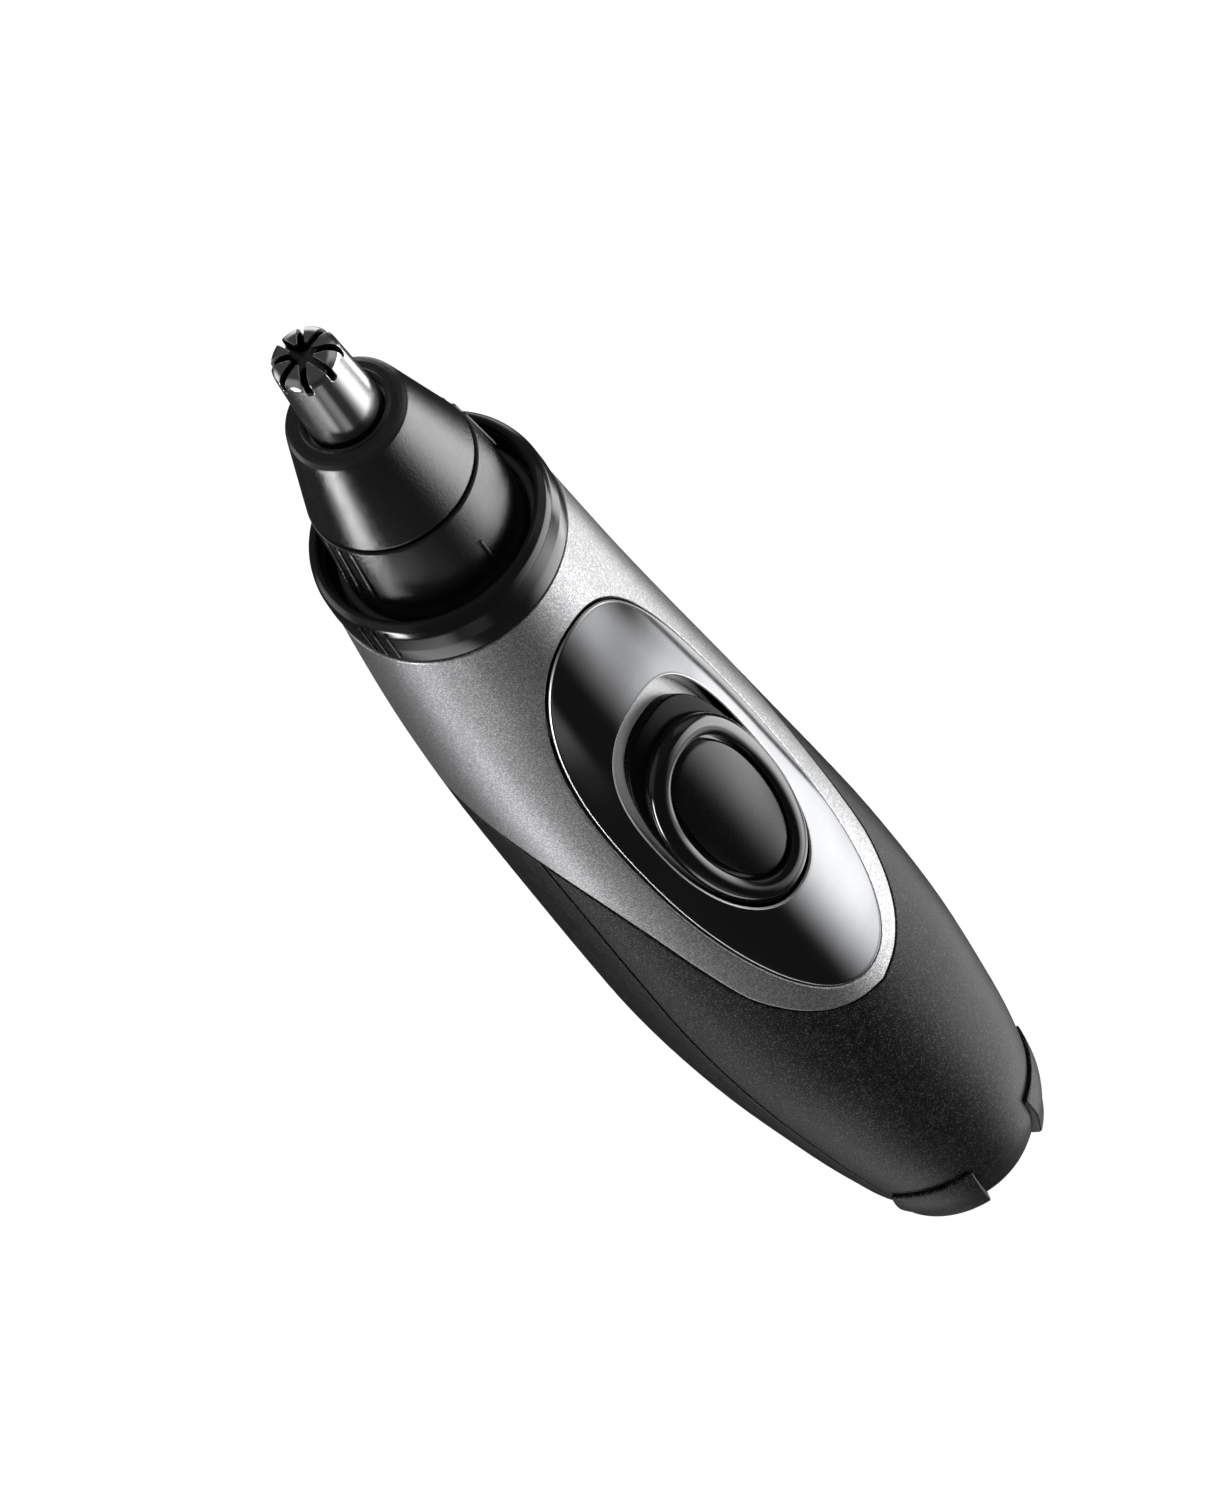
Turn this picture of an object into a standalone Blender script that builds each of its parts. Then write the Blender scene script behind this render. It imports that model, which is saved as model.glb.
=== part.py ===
# Battery nose and ear hair trimmer with a suction fan, modelled as an assembly.
# Metres, +Z up. The trimmer stands on its battery cap; the switch faces -Y.
# Driving dimensions are in millimetres here and are turned into metres when a mesh is made.
import bpy, bmesh, math
from mathutils import Vector, Matrix

MM = 0.001

# ---------------------------------------------------------------- driving dimensions (mm)
Y_SHIFT      = 1.693     # puts the middle of the overall depth on the origin
BASE_AXIS_Y  = -0.60     # axis of the battery and of its cap, before the shift
GAP          = 0.30      # running gap between neighbouring pieces
WALL         = 1.70      # shell wall
WALL_MOUTH   = 1.10      # shell wall at the battery mouth
BODY_BOTTOM  = 0.90      # lower edge of the shells above the rest plane
HEAD_Z       = 117.10    # seam between body and collar, on the head axis
HEAD_Y       = 0.58      # head axis at the seam, before the shift
HEAD_LEAN    = math.radians(7.0)   # the head leans towards the switch side
PARTING_AZ   = 77.0      # parting line between front and rear covers, degrees from the front
# body radius at each height
BODY_R = [(0.0, 8.55), (0.9, 8.95), (5.0, 10.84), (9.0, 11.81), (14.0, 12.83), (20.0, 13.78),
          (30.0, 15.12), (40.0, 15.84), (48.0, 16.02), (56.0, 15.84), (66.0, 15.48), (82.0, 14.83),
          (100.0, 13.82), (109.0, 13.24), (119.5, 12.50)]
# bow of the body: set-back of the section centre at each height
BODY_Y = [(0.0, -0.60), (10.0, -0.60), (28.0, 0.83), (44.0, 2.25), (58.0, 2.85), (74.0, 3.36),
          (88.0, 3.60), (100.0, 2.98), (110.0, 1.75), (119.5, 0.33)]
# lower edge of the silver shield: degrees from the front, height
SHIELD_EDGE = [(0.0, 41.4), (14.0, 42.6), (26.0, 45.0), (36.0, 48.6), (43.5, 52.6), (49.5, 58.4),
               (56.5, 65.6), (64.5, 72.2), (72.5, 77.3), (82.0, 82.0), (93.0, 85.9), (110.0, 89.8),
               (140.0, 93.2), (180.0, 94.4)]
PANEL = dict(a=10.42, b=32.5, z=76.7, p=2.22)      # oval opening for the mirror panel
RECESS = dict(a=7.70, b=17.2, z=77.1, p=2.34)       # switch recess in the panel
SLIDER = dict(a=7.25, b=15.45, z=75.7, p=2.3)       # slider foot
RING = dict(a=7.00, b=13.4, z=74.9, p=2.15)         # raised ring on the slider
DOME = dict(a=4.70, b=10.3, z=74.9, p=2.1)
SWITCH_TRAVEL = 3.0
SLIDE_DIR = Vector((0.0, 0.024, 1.0)).normalized()
CELL_R, CELL_L, CELL_Z = 7.25, 50.5, 8.30
TUBE_IN, TUBE_OUT = 7.60, 8.40
# azimuths of each lug's two sides, at its foot and at its top
LUG_SPANS = ((-86.0, -31.5, -73.0, -27.5), (24.0, 80.0, 18.0, 66.0), (152.0, 208.0, 154.0, 206.0))
LUG_H = 8.6
BLADE_R0, BLADE_R1, BLADE_H0, BLADE_H1 = 4.08, 3.50, 25.8, 38.3
SLOT_W, SLOT_DEPTH = 0.72, 2.1
HEAD_TURN = -5.0        # turn of the head's ribs, tick and slots about its own axis, degrees

# ---------------------------------------------------------------- scene and materials
for ob in list(bpy.data.objects):
    bpy.data.objects.remove(ob, do_unlink=True)
for me in list(bpy.data.meshes):
    bpy.data.meshes.remove(me)
for ma in list(bpy.data.materials):
    bpy.data.materials.remove(ma)

def material(name, color, rough, metal=0.0):
    m = bpy.data.materials.new(name)
    m.use_nodes = True
    b = m.node_tree.nodes["Principled BSDF"]
    b.inputs["Base Color"].default_value = (*color, 1.0)
    b.inputs["Roughness"].default_value = rough
    b.inputs["Metallic"].default_value = metal
    m.diffuse_color = (*color, 1.0)
    return m

# ---------------------------------------------------------------- small mathematics
def spline(table, x):
    """Smooth curve through a table of stations (finite-difference Hermite)."""
    n = len(table)
    if x <= table[0][0]:
        x = table[0][0]
    if x >= table[-1][0]:
        x = table[-1][0]
    i = 0
    while i < n - 2 and x > table[i + 1][0]:
        i += 1
    def slope(k):
        if k == 0:
            return (table[1][1] - table[0][1]) / (table[1][0] - table[0][0])
        if k == n - 1:
            return (table[-1][1] - table[-2][1]) / (table[-1][0] - table[-2][0])
        h0 = table[k][0] - table[k - 1][0]
        h1 = table[k + 1][0] - table[k][0]
        s0 = (table[k][1] - table[k - 1][1]) / h0
        s1 = (table[k + 1][1] - table[k][1]) / h1
        return (s0 * h1 + s1 * h0) / (h0 + h1)
    x0, y0 = table[i]
    x1, y1 = table[i + 1]
    h = x1 - x0
    t = (x - x0) / h
    m0, m1 = slope(i) * h, slope(i + 1) * h
    return ((2 * t**3 - 3 * t**2 + 1) * y0 + (t**3 - 2 * t**2 + t) * m0
            + (-2 * t**3 + 3 * t**2) * y1 + (t**3 - t**2) * m1)

def body_r(z):
    return spline(BODY_R, z)

def body_y(z):
    return spline(BODY_Y, z) - Y_SHIFT

def wall(z):
    return WALL_MOUTH + (WALL - WALL_MOUTH) * min(1.0, max(0.0, z / 6.0))

def skin(az, z, off=0.0):
    """Point on the body skin: azimuth in degrees from the front (+ to +X), height, offset outward."""
    a = math.radians(az)
    r = body_r(z) + off
    return Vector((r * math.sin(a), body_y(z) - r * math.cos(a), z))

def front(x, z, off=0.0):
    """Point on the front of the skin above (x, z), pushed out along the radius by off."""
    r = body_r(z)
    a = math.asin(max(-1.0, min(1.0, x / r)))
    return Vector(((r + off) * math.sin(a), body_y(z) - (r + off) * math.cos(a), z))

def oval(spec, t, grow=0.0):
    """Super-ellipse in the x-z plane, t in 0..1 round from +x towards +z."""
    c, s = math.cos(2 * math.pi * t), math.sin(2 * math.pi * t)
    e = 2.0 / spec["p"]
    x = (spec["a"] + grow) * math.copysign(abs(c) ** e, c)
    z = spec["z"] + (spec["b"] + grow) * math.copysign(abs(s) ** e, s)
    return x, z

def oval_points(spec, n, grow=0.0):
    """n points evenly spaced along the oval's length, starting at +x."""
    dense = [oval(spec, k / 720.0, grow) for k in range(721)]
    run = [0.0]
    for k in range(720):
        run.append(run[-1] + math.dist(dense[k], dense[k + 1]))
    out, j = [], 0
    for i in range(n):
        want = run[-1] * i / n
        while run[j + 1] < want:
            j += 1
        f = (want - run[j]) / (run[j + 1] - run[j])
        out.append((dense[j][0] + f * (dense[j + 1][0] - dense[j][0]),
                    dense[j][1] + f * (dense[j + 1][1] - dense[j][1])))
    return out

def seam_z(az, drop=0.0):
    """Height at which the skin meets the leaning seam plane under the collar."""
    z = HEAD_Z
    for _ in range(6):
        p = skin(az, z)
        z = HEAD_Z + math.tan(HEAD_LEAN) * (p.y - (HEAD_Y - Y_SHIFT)) - drop
    return z

# ---------------------------------------------------------------- mesh helpers
def finish(name, bm, mat, origin=(0, 0, 0), parent=None, smooth=35.0, helper=False, orient=True):
    """Turn a millimetre bmesh into a named object whose origin is at `origin` (mm)."""
    if orient:
        bmesh.ops.recalc_face_normals(bm, faces=bm.faces)
    o = Vector(origin)
    for v in bm.verts:
        v.co = (v.co - o) * MM
    me = bpy.data.meshes.new(name)
    bm.to_mesh(me)
    bm.free()
    ob = bpy.data.objects.new(name, me)
    bpy.context.collection.objects.link(ob)
    ob.location = o * MM
    if mat is not None:
        me.materials.append(mat)
    if parent is not None:
        ob.parent = parent
    me.shade_smooth()
    me.set_sharp_from_angle(angle=math.radians(smooth))
    if helper:
        ob.hide_render = True
        ob.display_type = 'WIRE'
    return ob

def boolean(ob, other, op='DIFFERENCE'):
    m = ob.modifiers.new(op.lower(), 'BOOLEAN')
    m.operation = op
    m.solver = 'EXACT'
    m.object = other
    other.hide_render = True
    other.display_type = 'WIRE'

def lathe(profile, n, closed=False, cx=0.0, cy=0.0):
    """Turn a profile of (radius, height) about a vertical axis through (cx, cy)."""
    bm = bmesh.new()
    vs = [bm.verts.new((cx + r, cy, z)) for r, z in profile]
    es = [bm.edges.new((vs[i], vs[i + 1])) for i in range(len(vs) - 1)]
    if closed:
        es.append(bm.edges.new((vs[-1], vs[0])))
    bmesh.ops.spin(bm, geom=vs + es, cent=(cx, cy, 0), axis=(0, 0, 1), angle=2 * math.pi,
                   steps=n, use_merge=True)
    bmesh.ops.remove_doubles(bm, verts=bm.verts, dist=1e-4)
    return bm

def prism(points, vec):
    """Extrude a flat outline by a vector."""
    bm = bmesh.new()
    f = bm.faces.new([bm.verts.new(p) for p in points])
    r = bmesh.ops.extrude_face_region(bm, geom=[f])
    bmesh.ops.translate(bm, vec=vec, verts=[e for e in r["geom"] if isinstance(e, bmesh.types.BMVert)])
    return bm

def box(x0, x1, y0, y1, z0, z1, chamfer=0.0):
    bm = bmesh.new()
    bmesh.ops.create_cube(bm, size=1.0)
    for v in bm.verts:
        v.co = Vector(((x0 + x1) / 2 + v.co.x * (x1 - x0), (y0 + y1) / 2 + v.co.y * (y1 - y0),
                       (z0 + z1) / 2 + v.co.z * (z1 - z0)))
    if chamfer:
        bmesh.ops.bevel(bm, geom=list(bm.edges), offset=chamfer, segments=1, affect='EDGES', profile=0.5)
    return bm

def join(*bms):
    """Put several bmeshes that do not touch into one."""
    out = bms[0]
    for b in bms[1:]:
        me = bpy.data.meshes.new("tmp")
        b.to_mesh(me)
        b.free()
        out.from_mesh(me)
        bpy.data.meshes.remove(me)
    return out

def shell_grid(outer, inner, ring=False):
    """Closed shell from an outer and an inner grid of points (rows of equal length)."""
    bm = bmesh.new()
    O = [[bm.verts.new(p) for p in row] for row in outer]
    I = [[bm.verts.new(p) for p in row] for row in inner]
    nr, nc = len(O), len(O[0])
    cols = nc if ring else nc - 1
    for r in range(nr - 1):
        for c in range(cols):
            d = (c + 1) % nc
            bm.faces.new((O[r][c], O[r][d], O[r + 1][d], O[r + 1][c]))
            bm.faces.new((I[r][c], I[r + 1][c], I[r + 1][d], I[r][d]))
    for c in range(cols):
        d = (c + 1) % nc
        bm.faces.new((O[0][c], I[0][c], I[0][d], O[0][d]))
        bm.faces.new((O[-1][c], O[-1][d], I[-1][d], I[-1][c]))
    if not ring:
        for r in range(nr - 1):
            bm.faces.new((O[r][0], O[r + 1][0], I[r + 1][0], I[r][0]))
            bm.faces.new((O[r][-1], I[r][-1], I[r + 1][-1], O[r + 1][-1]))
    return bm

def stacked(rows, cap_first=None, cap_last=None):
    """Closed solid from closed loops of equal length, with a point to close each end."""
    bm = bmesh.new()
    V = [[bm.verts.new(p) for p in row] for row in rows]
    n = len(V[0])
    for r in range(len(V) - 1):
        for c in range(n):
            d = (c + 1) % n
            bm.faces.new((V[r][c], V[r][d], V[r + 1][d], V[r + 1][c]))
    for row, cap in ((V[0], cap_first), (V[-1], cap_last)):
        if cap is not None:
            v = bm.verts.new(cap)
            for c in range(n):
                bm.faces.new((row[c], row[(c + 1) % n], v))
    return bm

def coil(radius, wire, z0, z1, turns, per_turn, sides, cx=0.0, cy=0.0):
    """Helical spring, ends closed."""
    n = int(turns * per_turn)
    rows = []
    for i in range(n + 1):
        a = 2 * math.pi * turns * i / n
        c = Vector((cx + radius * math.cos(a), cy + radius * math.sin(a), z0 + wire + (z1 - z0 - 2 * wire) * i / n))
        t = Vector((-radius * math.sin(a), radius * math.cos(a), (z1 - z0 - 2 * wire) / (2 * math.pi * turns))).normalized()
        e = Vector((math.cos(a), math.sin(a), 0))
        f = t.cross(e)
        rows.append([c + wire * (math.cos(2 * math.pi * k / sides) * e + math.sin(2 * math.pi * k / sides) * f)
                     for k in range(sides)])
    return stacked(rows, sum(rows[0], Vector()) / sides, sum(rows[-1], Vector()) / sides)

# ---------------------------------------------------------------- materials
M_STEEL  = material("stainless_steel", (0.62, 0.62, 0.64), 0.18, 1.0)
M_BLACK  = material("satin_black", (0.018, 0.018, 0.019), 0.42)
M_GLOSS  = material("gloss_black", (0.008, 0.008, 0.009), 0.08)
M_SILVER = material("silver_paint", (0.40, 0.40, 0.42), 0.34, 0.85)
M_CHAR   = material("charcoal_paint", (0.050, 0.051, 0.054), 0.42, 0.5)
M_MIRROR = material("smoked_mirror", (0.20, 0.20, 0.21), 0.06, 1.0)
M_FLOOR  = material("silver_floor", (0.33, 0.33, 0.33), 0.45, 0.6)
M_RUBBER = material("seal_rubber", (0.02, 0.02, 0.02), 0.75)
M_WHITE  = material("frame_plastic", (0.55, 0.55, 0.52), 0.5)
M_BRASS  = material("contact_metal", (0.70, 0.60, 0.36), 0.3, 1.0)
M_CAN    = material("motor_steel", (0.45, 0.45, 0.45), 0.35, 1.0)
M_CELL   = material("cell_wrap", (0.10, 0.13, 0.18), 0.35)
M_AMBER  = material("chamber_plastic", (0.10, 0.10, 0.11), 0.3)

# ---------------------------------------------------------------- axes
head_axis = bpy.data.objects.new("head_axis", None)
bpy.context.collection.objects.link(head_axis)
head_axis.location = Vector((0, HEAD_Y - Y_SHIFT, HEAD_Z)) * MM
head_axis.rotation_euler = (HEAD_LEAN, 0, 0)
BY = BASE_AXIS_Y - Y_SHIFT

# ================================================================ body shells
def edge_curve(n):
    """Half of the shield's lower edge, front to back, evenly spaced along its length."""
    dense = []
    for k in range(1801):
        az = 180.0 * k / 1800
        dense.append((az, spline(SHIELD_EDGE, az)))
    run = [0.0]
    for k in range(1800):
        run.append(run[-1] + (skin(*dense[k]) - skin(*dense[k + 1])).length)
    out, j = [], 0
    for i in range(n + 1):
        want = run[-1] * i / n
        while j < 1799 and run[j + 1] < want:
            j += 1
        f = (want - run[j]) / (run[j + 1] - run[j])
        out.append((dense[j][0] + f * 180.0 / 1800, dense[j][1] + f * (dense[j + 1][1] - dense[j][1])))
    return out

def shifted(curve, dist):
    """The edge moved at right angles to itself along the skin (up when dist > 0)."""
    out = []
    for i, (az, z) in enumerate(curve):
        a0, z0 = curve[max(0, i - 1)]
        a1, z1 = curve[min(len(curve) - 1, i + 1)]
        k = math.radians(1.0) * body_r(z)
        tx, tz = (a1 - a0) * k, z1 - z0
        if i == 0 or i == len(curve) - 1:
            tz = 0.0
        l = math.hypot(tx, tz)
        out.append((az - dist * tz / l / k, z + dist * tx / l))
    return out

N_EDGE = 21
half = edge_curve(N_EDGE)
up = shifted(half, GAP / 2)
low = shifted(half, -GAP / 2)

# silver shield: a full ring at the top, running down to a rounded tip at the front
full = [(-a, z) for a, z in reversed(up[1:-1])] + up
rows = 8
outer, inner = [], []
for r in range(rows + 1):
    v = r / rows
    ro, ri = [], []
    for k, (az, z) in enumerate(full):
        e = 360.0 * (k - (N_EDGE - 1)) / (2 * N_EDGE)
        w = v ** 1.2
        a = az * (1 - w) + e * w
        top = seam_z(a, GAP / 2)
        zz = z * (1 - v) + top * v
        ro.append(skin(a, zz)), ri.append(skin(a, zz, -WALL))
    outer.append(ro), inner.append(ri)
shield = finish("shield_shell", shell_grid(outer, inner, ring=True), M_SILVER)

# oval opening for the panel, and the fan's outlet slots at the back
cut = finish("panel_cutter", prism([Vector((x, 40.0 - 80.0, z)) for x, z in oval_points(PANEL, 64)],
                                   Vector((0, 40.0, 0))), None, helper=True)
boolean(shield, cut)
slots = join(*[box(x - 0.55, x + 0.55, 8.0, 25.0, 98.5, 106.5) for x in (-5.2, -2.6, 0.0, 2.6, 5.2)])
slot_cut = finish("outlet_cutter", slots, None, helper=True)
boolean(shield, slot_cut)

# charcoal front cover, under the shield
kp = min(range(len(low)), key=lambda i: abs(low[i][0] - PARTING_AZ))
top_half = low[:kp] + [(PARTING_AZ, spline(SHIELD_EDGE, PARTING_AZ) - GAP * 0.75)]
side = [(-a, z) for a, z in reversed(top_half[1:])] + top_half
n = len(side)
outer, inner = [], []
rows = 9
g = math.degrees(GAP / 2 / 14.0)
for r in range(rows + 1):
    v = (r / rows) ** 0.9
    ro, ri = [], []
    for k, (az, z) in enumerate(side):
        e = PARTING_AZ * (2.0 * k / (n - 1) - 1.0)
        a = az * (1 - v) + e * v
        a *= (PARTING_AZ - g) / PARTING_AZ
        zz = z * (1 - v) + BODY_BOTTOM * v
        ro.append(skin(a, zz)), ri.append(skin(a, zz, -wall(zz)))
    outer.append(ro), inner.append(ri)
front_cover = finish("front_cover", shell_grid(outer, inner), M_CHAR)

# charcoal rear cover
back = [(PARTING_AZ, spline(SHIELD_EDGE, PARTING_AZ) - GAP * 0.75)] + low[kp + 1:]
side = back + [(360.0 - a, z) for a, z in reversed(back[:-1])]
n = len(side)
outer, inner = [], []
rows = 9
for r in range(rows + 1):
    v = (r / rows) ** 0.9
    ro, ri = [], []
    for k, (az, z) in enumerate(side):
        e = PARTING_AZ + (360.0 - 2 * PARTING_AZ) * k / (n - 1)
        a = az * (1 - v) + e * v
        a = 180.0 + (a - 180.0) * (180.0 - PARTING_AZ - g) / (180.0 - PARTING_AZ)
        zz = z * (1 - v) + BODY_BOTTOM * v
        ro.append(skin(a, zz)), ri.append(skin(a, zz, -wall(zz)))
    outer.append(ro), inner.append(ri)
rear_cover = finish("rear_cover", shell_grid(outer, inner), M_CHAR)

# ================================================================ oval panel and switch
N_OVAL = 40
po = oval_points(PANEL, N_OVAL, -GAP)
pi = oval_points(RECESS, N_OVAL)
outer, inner = [], []
for r, (t, off) in enumerate(((0.0, 0.05), (0.05, 0.25), (0.35, 0.30), (0.68, 0.30), (0.95, 0.25), (1.0, 0.05))):
    pts = [(a[0] * (1 - t) + b[0] * t, a[1] * (1 - t) + b[1] * t) for a, b in zip(po, pi)]
    outer.append([front(x, z, off) for x, z in pts])
    inner.append([front(x, z, -1.15) for x, z in pts])
panel = finish("oval_panel", shell_grid(outer, inner, ring=True), M_MIRROR)

# silver-grey floor of the recess, with the slot for the contact bridge
SLOT = dict(a=1.7, b=7.0, z=76.6, p=3.0)
fo = oval_points(RECESS, N_OVAL, 1.0)
fi = oval_points(SLOT, N_OVAL)
outer, inner = [], []
for t in (0.0, 0.5, 1.0):
    pts = [(a[0] * (1 - t) + b[0] * t, a[1] * (1 - t) + b[1] * t) for a, b in zip(fo, fi)]
    outer.append([front(x, z, -1.55) for x, z in pts])
    inner.append([front(x, z, -2.35) for x, z in pts])
plate = finish("switch_plate", shell_grid(outer, inner, ring=True), M_FLOOR)

# slider: a flat foot in the recess and a raised ring
def loop(spec, off, grow=0.0, size=1.0):
    sp = dict(spec, a=spec["a"] * size, b=spec["b"] * size)
    return [front(x, z, off) for x, z in oval_points(sp, N_OVAL, grow)]
SW_O = front(0.0, RING["z"], 0.0)
HOLE = dict(DOME, a=DOME["a"] + 0.35, b=DOME["b"] + 0.35)
def band(t, off, grow=0.0):
    """A line between the ring's outline (t = 0) and its opening (t = 1)."""
    return [front(p[0] * (1 - t) + q[0] * t, p[1] * (1 - t) + q[1] * t, off)
            for p, q in zip(oval_points(RING, N_OVAL, grow), oval_points(HOLE, N_OVAL))]
rows = [loop(SLIDER, -1.25, 0.0, 0.35), loop(SLIDER, -1.25, 0.0, 0.68), loop(SLIDER, -1.25), loop(SLIDER, -0.15), loop(SLIDER, 0.05, -0.2),
        band(0.0, 0.12), band(0.05, 0.75), band(0.14, 1.20), band(0.34, 1.52), band(0.62, 1.58),
        band(0.88, 1.40), band(1.0, 1.12), band(1.0, 0.30), loop(HOLE, 0.30, 0.0, 0.4)]
slider = finish("switch_slider", stacked(rows, front(0, SLIDER["z"], -1.25), front(0, RING["z"], 0.30)),
                M_GLOSS, origin=SW_O)
rows = [loop(DOME, 0.42, 0.0, 0.35), loop(DOME, 0.42), loop(DOME, 0.76), loop(DOME, 1.02, -0.45), loop(DOME, 1.28, -1.25),
        loop(DOME, 1.50, -2.4)]
dome = finish("switch_dome", stacked(rows, front(0, DOME["z"], 0.42), front(0, DOME["z"], 1.68)),
              M_BLACK, origin=SW_O)
sy = front(0, 75.0, 0).y
bridge = finish("switch_contact", box(-1.1, 1.1, sy + 1.75, sy + 4.9, 72.2, 76.8, 0.2), M_BRASS,
                origin=SW_O)
leaf = finish("switch_leaf", box(-2.2, 2.2, sy + 5.2, sy + 5.6, 66.5, 84.0), M_BRASS)

# ================================================================ head (local frame of head_axis)
# collar ring: glossy ring with a well that takes the head
collar = finish("collar_ring", lathe([(8.3, 0.15), (12.62, 0.15), (12.72, 2.4), (12.66, 4.6), (12.45, 5.5),
                                      (11.98, 6.10), (11.62, 6.20), (11.36, 5.95), (11.20, 5.2), (11.20, 0.85),
                                      (8.3, 0.85)], 36, closed=True), M_GLOSS, parent=head_axis)
seal = finish("head_seal", lathe([(10.2 + 0.45 * math.cos(2 * math.pi * k / 8),
                                   2.6 + 0.45 * math.sin(2 * math.pi * k / 8)) for k in range(8)], 24, closed=True),
              M_RUBBER, parent=head_axis)

# lower band of the head, with side ribs and the alignment tick
skirt = finish("head_skirt", lathe([(8.05, 1.15), (9.45, 1.15), (9.45, 5.3), (9.68, 5.9), (9.70, 6.4),
                                    (9.10, 15.05), (8.05, 15.05)], 36, closed=True), M_BLACK, parent=head_axis)
def rib(az, half_w, h0, h1, r0, r1, proud):
    """A small raised rib on the leaning side of the band."""
    a = math.radians(az)
    e = Vector((math.sin(a), -math.cos(a), 0))
    s = Vector((math.cos(a), math.sin(a), 0))
    pts = [e * (r0 - 0.6) + s * -half_w + Vector((0, 0, h0)), e * (r0 + proud) + s * -half_w + Vector((0, 0, h0)),
           e * (r1 + proud * 0.5) + s * -half_w + Vector((0, 0, h1)), e * (r1 - 0.6) + s * -half_w + Vector((0, 0, h1))]
    return prism(pts, s * 2 * half_w)
ribs = join(*([rib(s * a + HEAD_TURN, 0.30, 7.3, 14.9, 9.64, 9.11, 0.42) for s in (-1, 1) for a in (77.0, 87.0, 97.0)]
              + [rib(HEAD_TURN, 0.22, 6.7, 9.8, 9.67, 9.46, 0.28)]))
rib_tool = finish("rib_tool", ribs, None, parent=head_axis, helper=True)
boolean(skirt, rib_tool, 'UNION')

# upper cone that carries the guard
cone = finish("head_cone", lathe([(7.55, 15.45), (8.84, 15.45), (8.90, 15.8), (6.52, 26.1), (6.36, 26.7),
                                  (6.02, 27.08), (5.55, 27.25), (4.80, 27.30), (4.70, 27.55), (4.40, 27.55),
                                  (4.40, 26.55), (5.35, 26.55), (5.35, 25.3), (7.55, 16.3)], 36, closed=True),
              M_BLACK, parent=head_axis)

# slotted stainless guard
t = 0.36
guard = finish("outer_blade", lathe([(BLADE_R0 - t, BLADE_H0), (5.05, BLADE_H0), (5.05, BLADE_H0 + 0.5),
                                     (BLADE_R0, BLADE_H0 + 0.5), (BLADE_R1 + 0.05, 37.0), (BLADE_R1 - 0.08, 37.55),
                                     (BLADE_R1 - 0.40, 37.98), (BLADE_R1 - 0.85, 38.23), (BLADE_R1 - 1.3, BLADE_H1),
                                     (1.25, BLADE_H1), (1.25, BLADE_H1 - t), (BLADE_R1 - 1.35, BLADE_H1 - t),
                                     (BLADE_R1 - 0.80, 37.6), (BLADE_R1 - t + 0.03, 36.9)], 40, closed=True),
               M_STEEL, parent=head_axis)
def slot_prism(az):
    """Long slot with a round lower end, right across the guard."""
    a = math.radians(az)
    e = Vector((math.sin(a), -math.cos(a), 0))
    s = Vector((math.cos(a), math.sin(a), 0))
    w, z0 = SLOT_W / 2, BLADE_H1 - SLOT_DEPTH + SLOT_W / 2
    prof = [(w, BLADE_H1 + 1.0)] + [(w * math.cos(q), z0 + w * math.sin(q))
            for q in [-math.pi * k / 6 for k in range(7)]] + [(-w, BLADE_H1 + 1.0)]
    return prism([e * -5.5 + s * x + Vector((0, 0, z)) for x, z in prof], e * 11.0)
for i in range(4):
    sc = finish("slot_cutter_%d" % (i + 1), slot_prism(HEAD_TURN + 45.0 * i), None, parent=head_axis, helper=True)
    boolean(guard, sc)

# ================================================================ rotor (local frame of head_axis)
# rotary cutter: four vanes on a hub
def cross(arm, w, hub, n=4):
    pts = []
    for i in range(n):
        a = 2 * math.pi * i / n
        e = Vector((math.cos(a), math.sin(a), 0))
        s = Vector((-math.sin(a), math.cos(a), 0))
        pts += [e * hub - s * w, e * arm - s * w, e * arm + s * w, e * hub + s * w]
    return pts
vanes = [p + Vector((0, 0, 32.2)) for p in cross(2.66, 0.38, 0.9)]
inner_blade = finish("inner_blade", prism(vanes, Vector((0, 0, 5.05))), M_STEEL, parent=head_axis)
drive = finish("drive_shaft", lathe([(0, -9.0), (1.0, -9.0), (1.0, 24.8), (2.5, 24.8), (2.5, 25.4), (1.0, 25.4),
                                     (1.0, 31.9), (0, 31.9)], 20), M_STEEL, parent=head_axis)
bspring = finish("blade_spring", coil(1.75, 0.22, 25.7, 31.9, 4, 10, 5), M_STEEL, parent=head_axis)
sleeve = finish("shaft_coupler", lathe([(1.3, -10.9), (2.2, -10.9), (2.2, -7.4), (1.3, -7.4)], 20, closed=True),
                M_BRASS, parent=head_axis)
mshaft = finish("motor_shaft", lathe([(0, -48.6), (0.95, -48.6), (0.95, -9.3), (0, -9.3)], 20),
                M_CAN, parent=head_axis)
fan = finish("fan_impeller", lathe([(1.25, -17.6), (9.3, -17.6), (9.3, -16.9), (2.6, -16.9), (2.3, -11.5), (1.25, -11.5)],
                                   32, closed=True), M_AMBER, parent=head_axis)
def fan_blade(az):
    a = math.radians(az)
    e = Vector((math.cos(a), math.sin(a), 0))
    s = Vector((-math.sin(a), math.cos(a), 0))
    p = [e * 1.9 - s * 0.3, e * 9.2 + s * 1.6, e * 9.2 + s * 2.2, e * 1.9 + s * 0.3]
    return prism([q + Vector((0, 0, -17.2)) for q in p], Vector((0, 0, 4.9)))
blades = finish("fan_blade_tool", join(*[fan_blade(60.0 * i) for i in range(6)]), None, parent=head_axis, helper=True)
boolean(fan, blades, 'UNION')
armature = finish("armature", lathe([(1.25, -43.0), (5.5, -43.0), (5.5, -28.5), (1.25, -28.5)], 24, closed=True),
                  M_BRASS, parent=head_axis)

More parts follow.
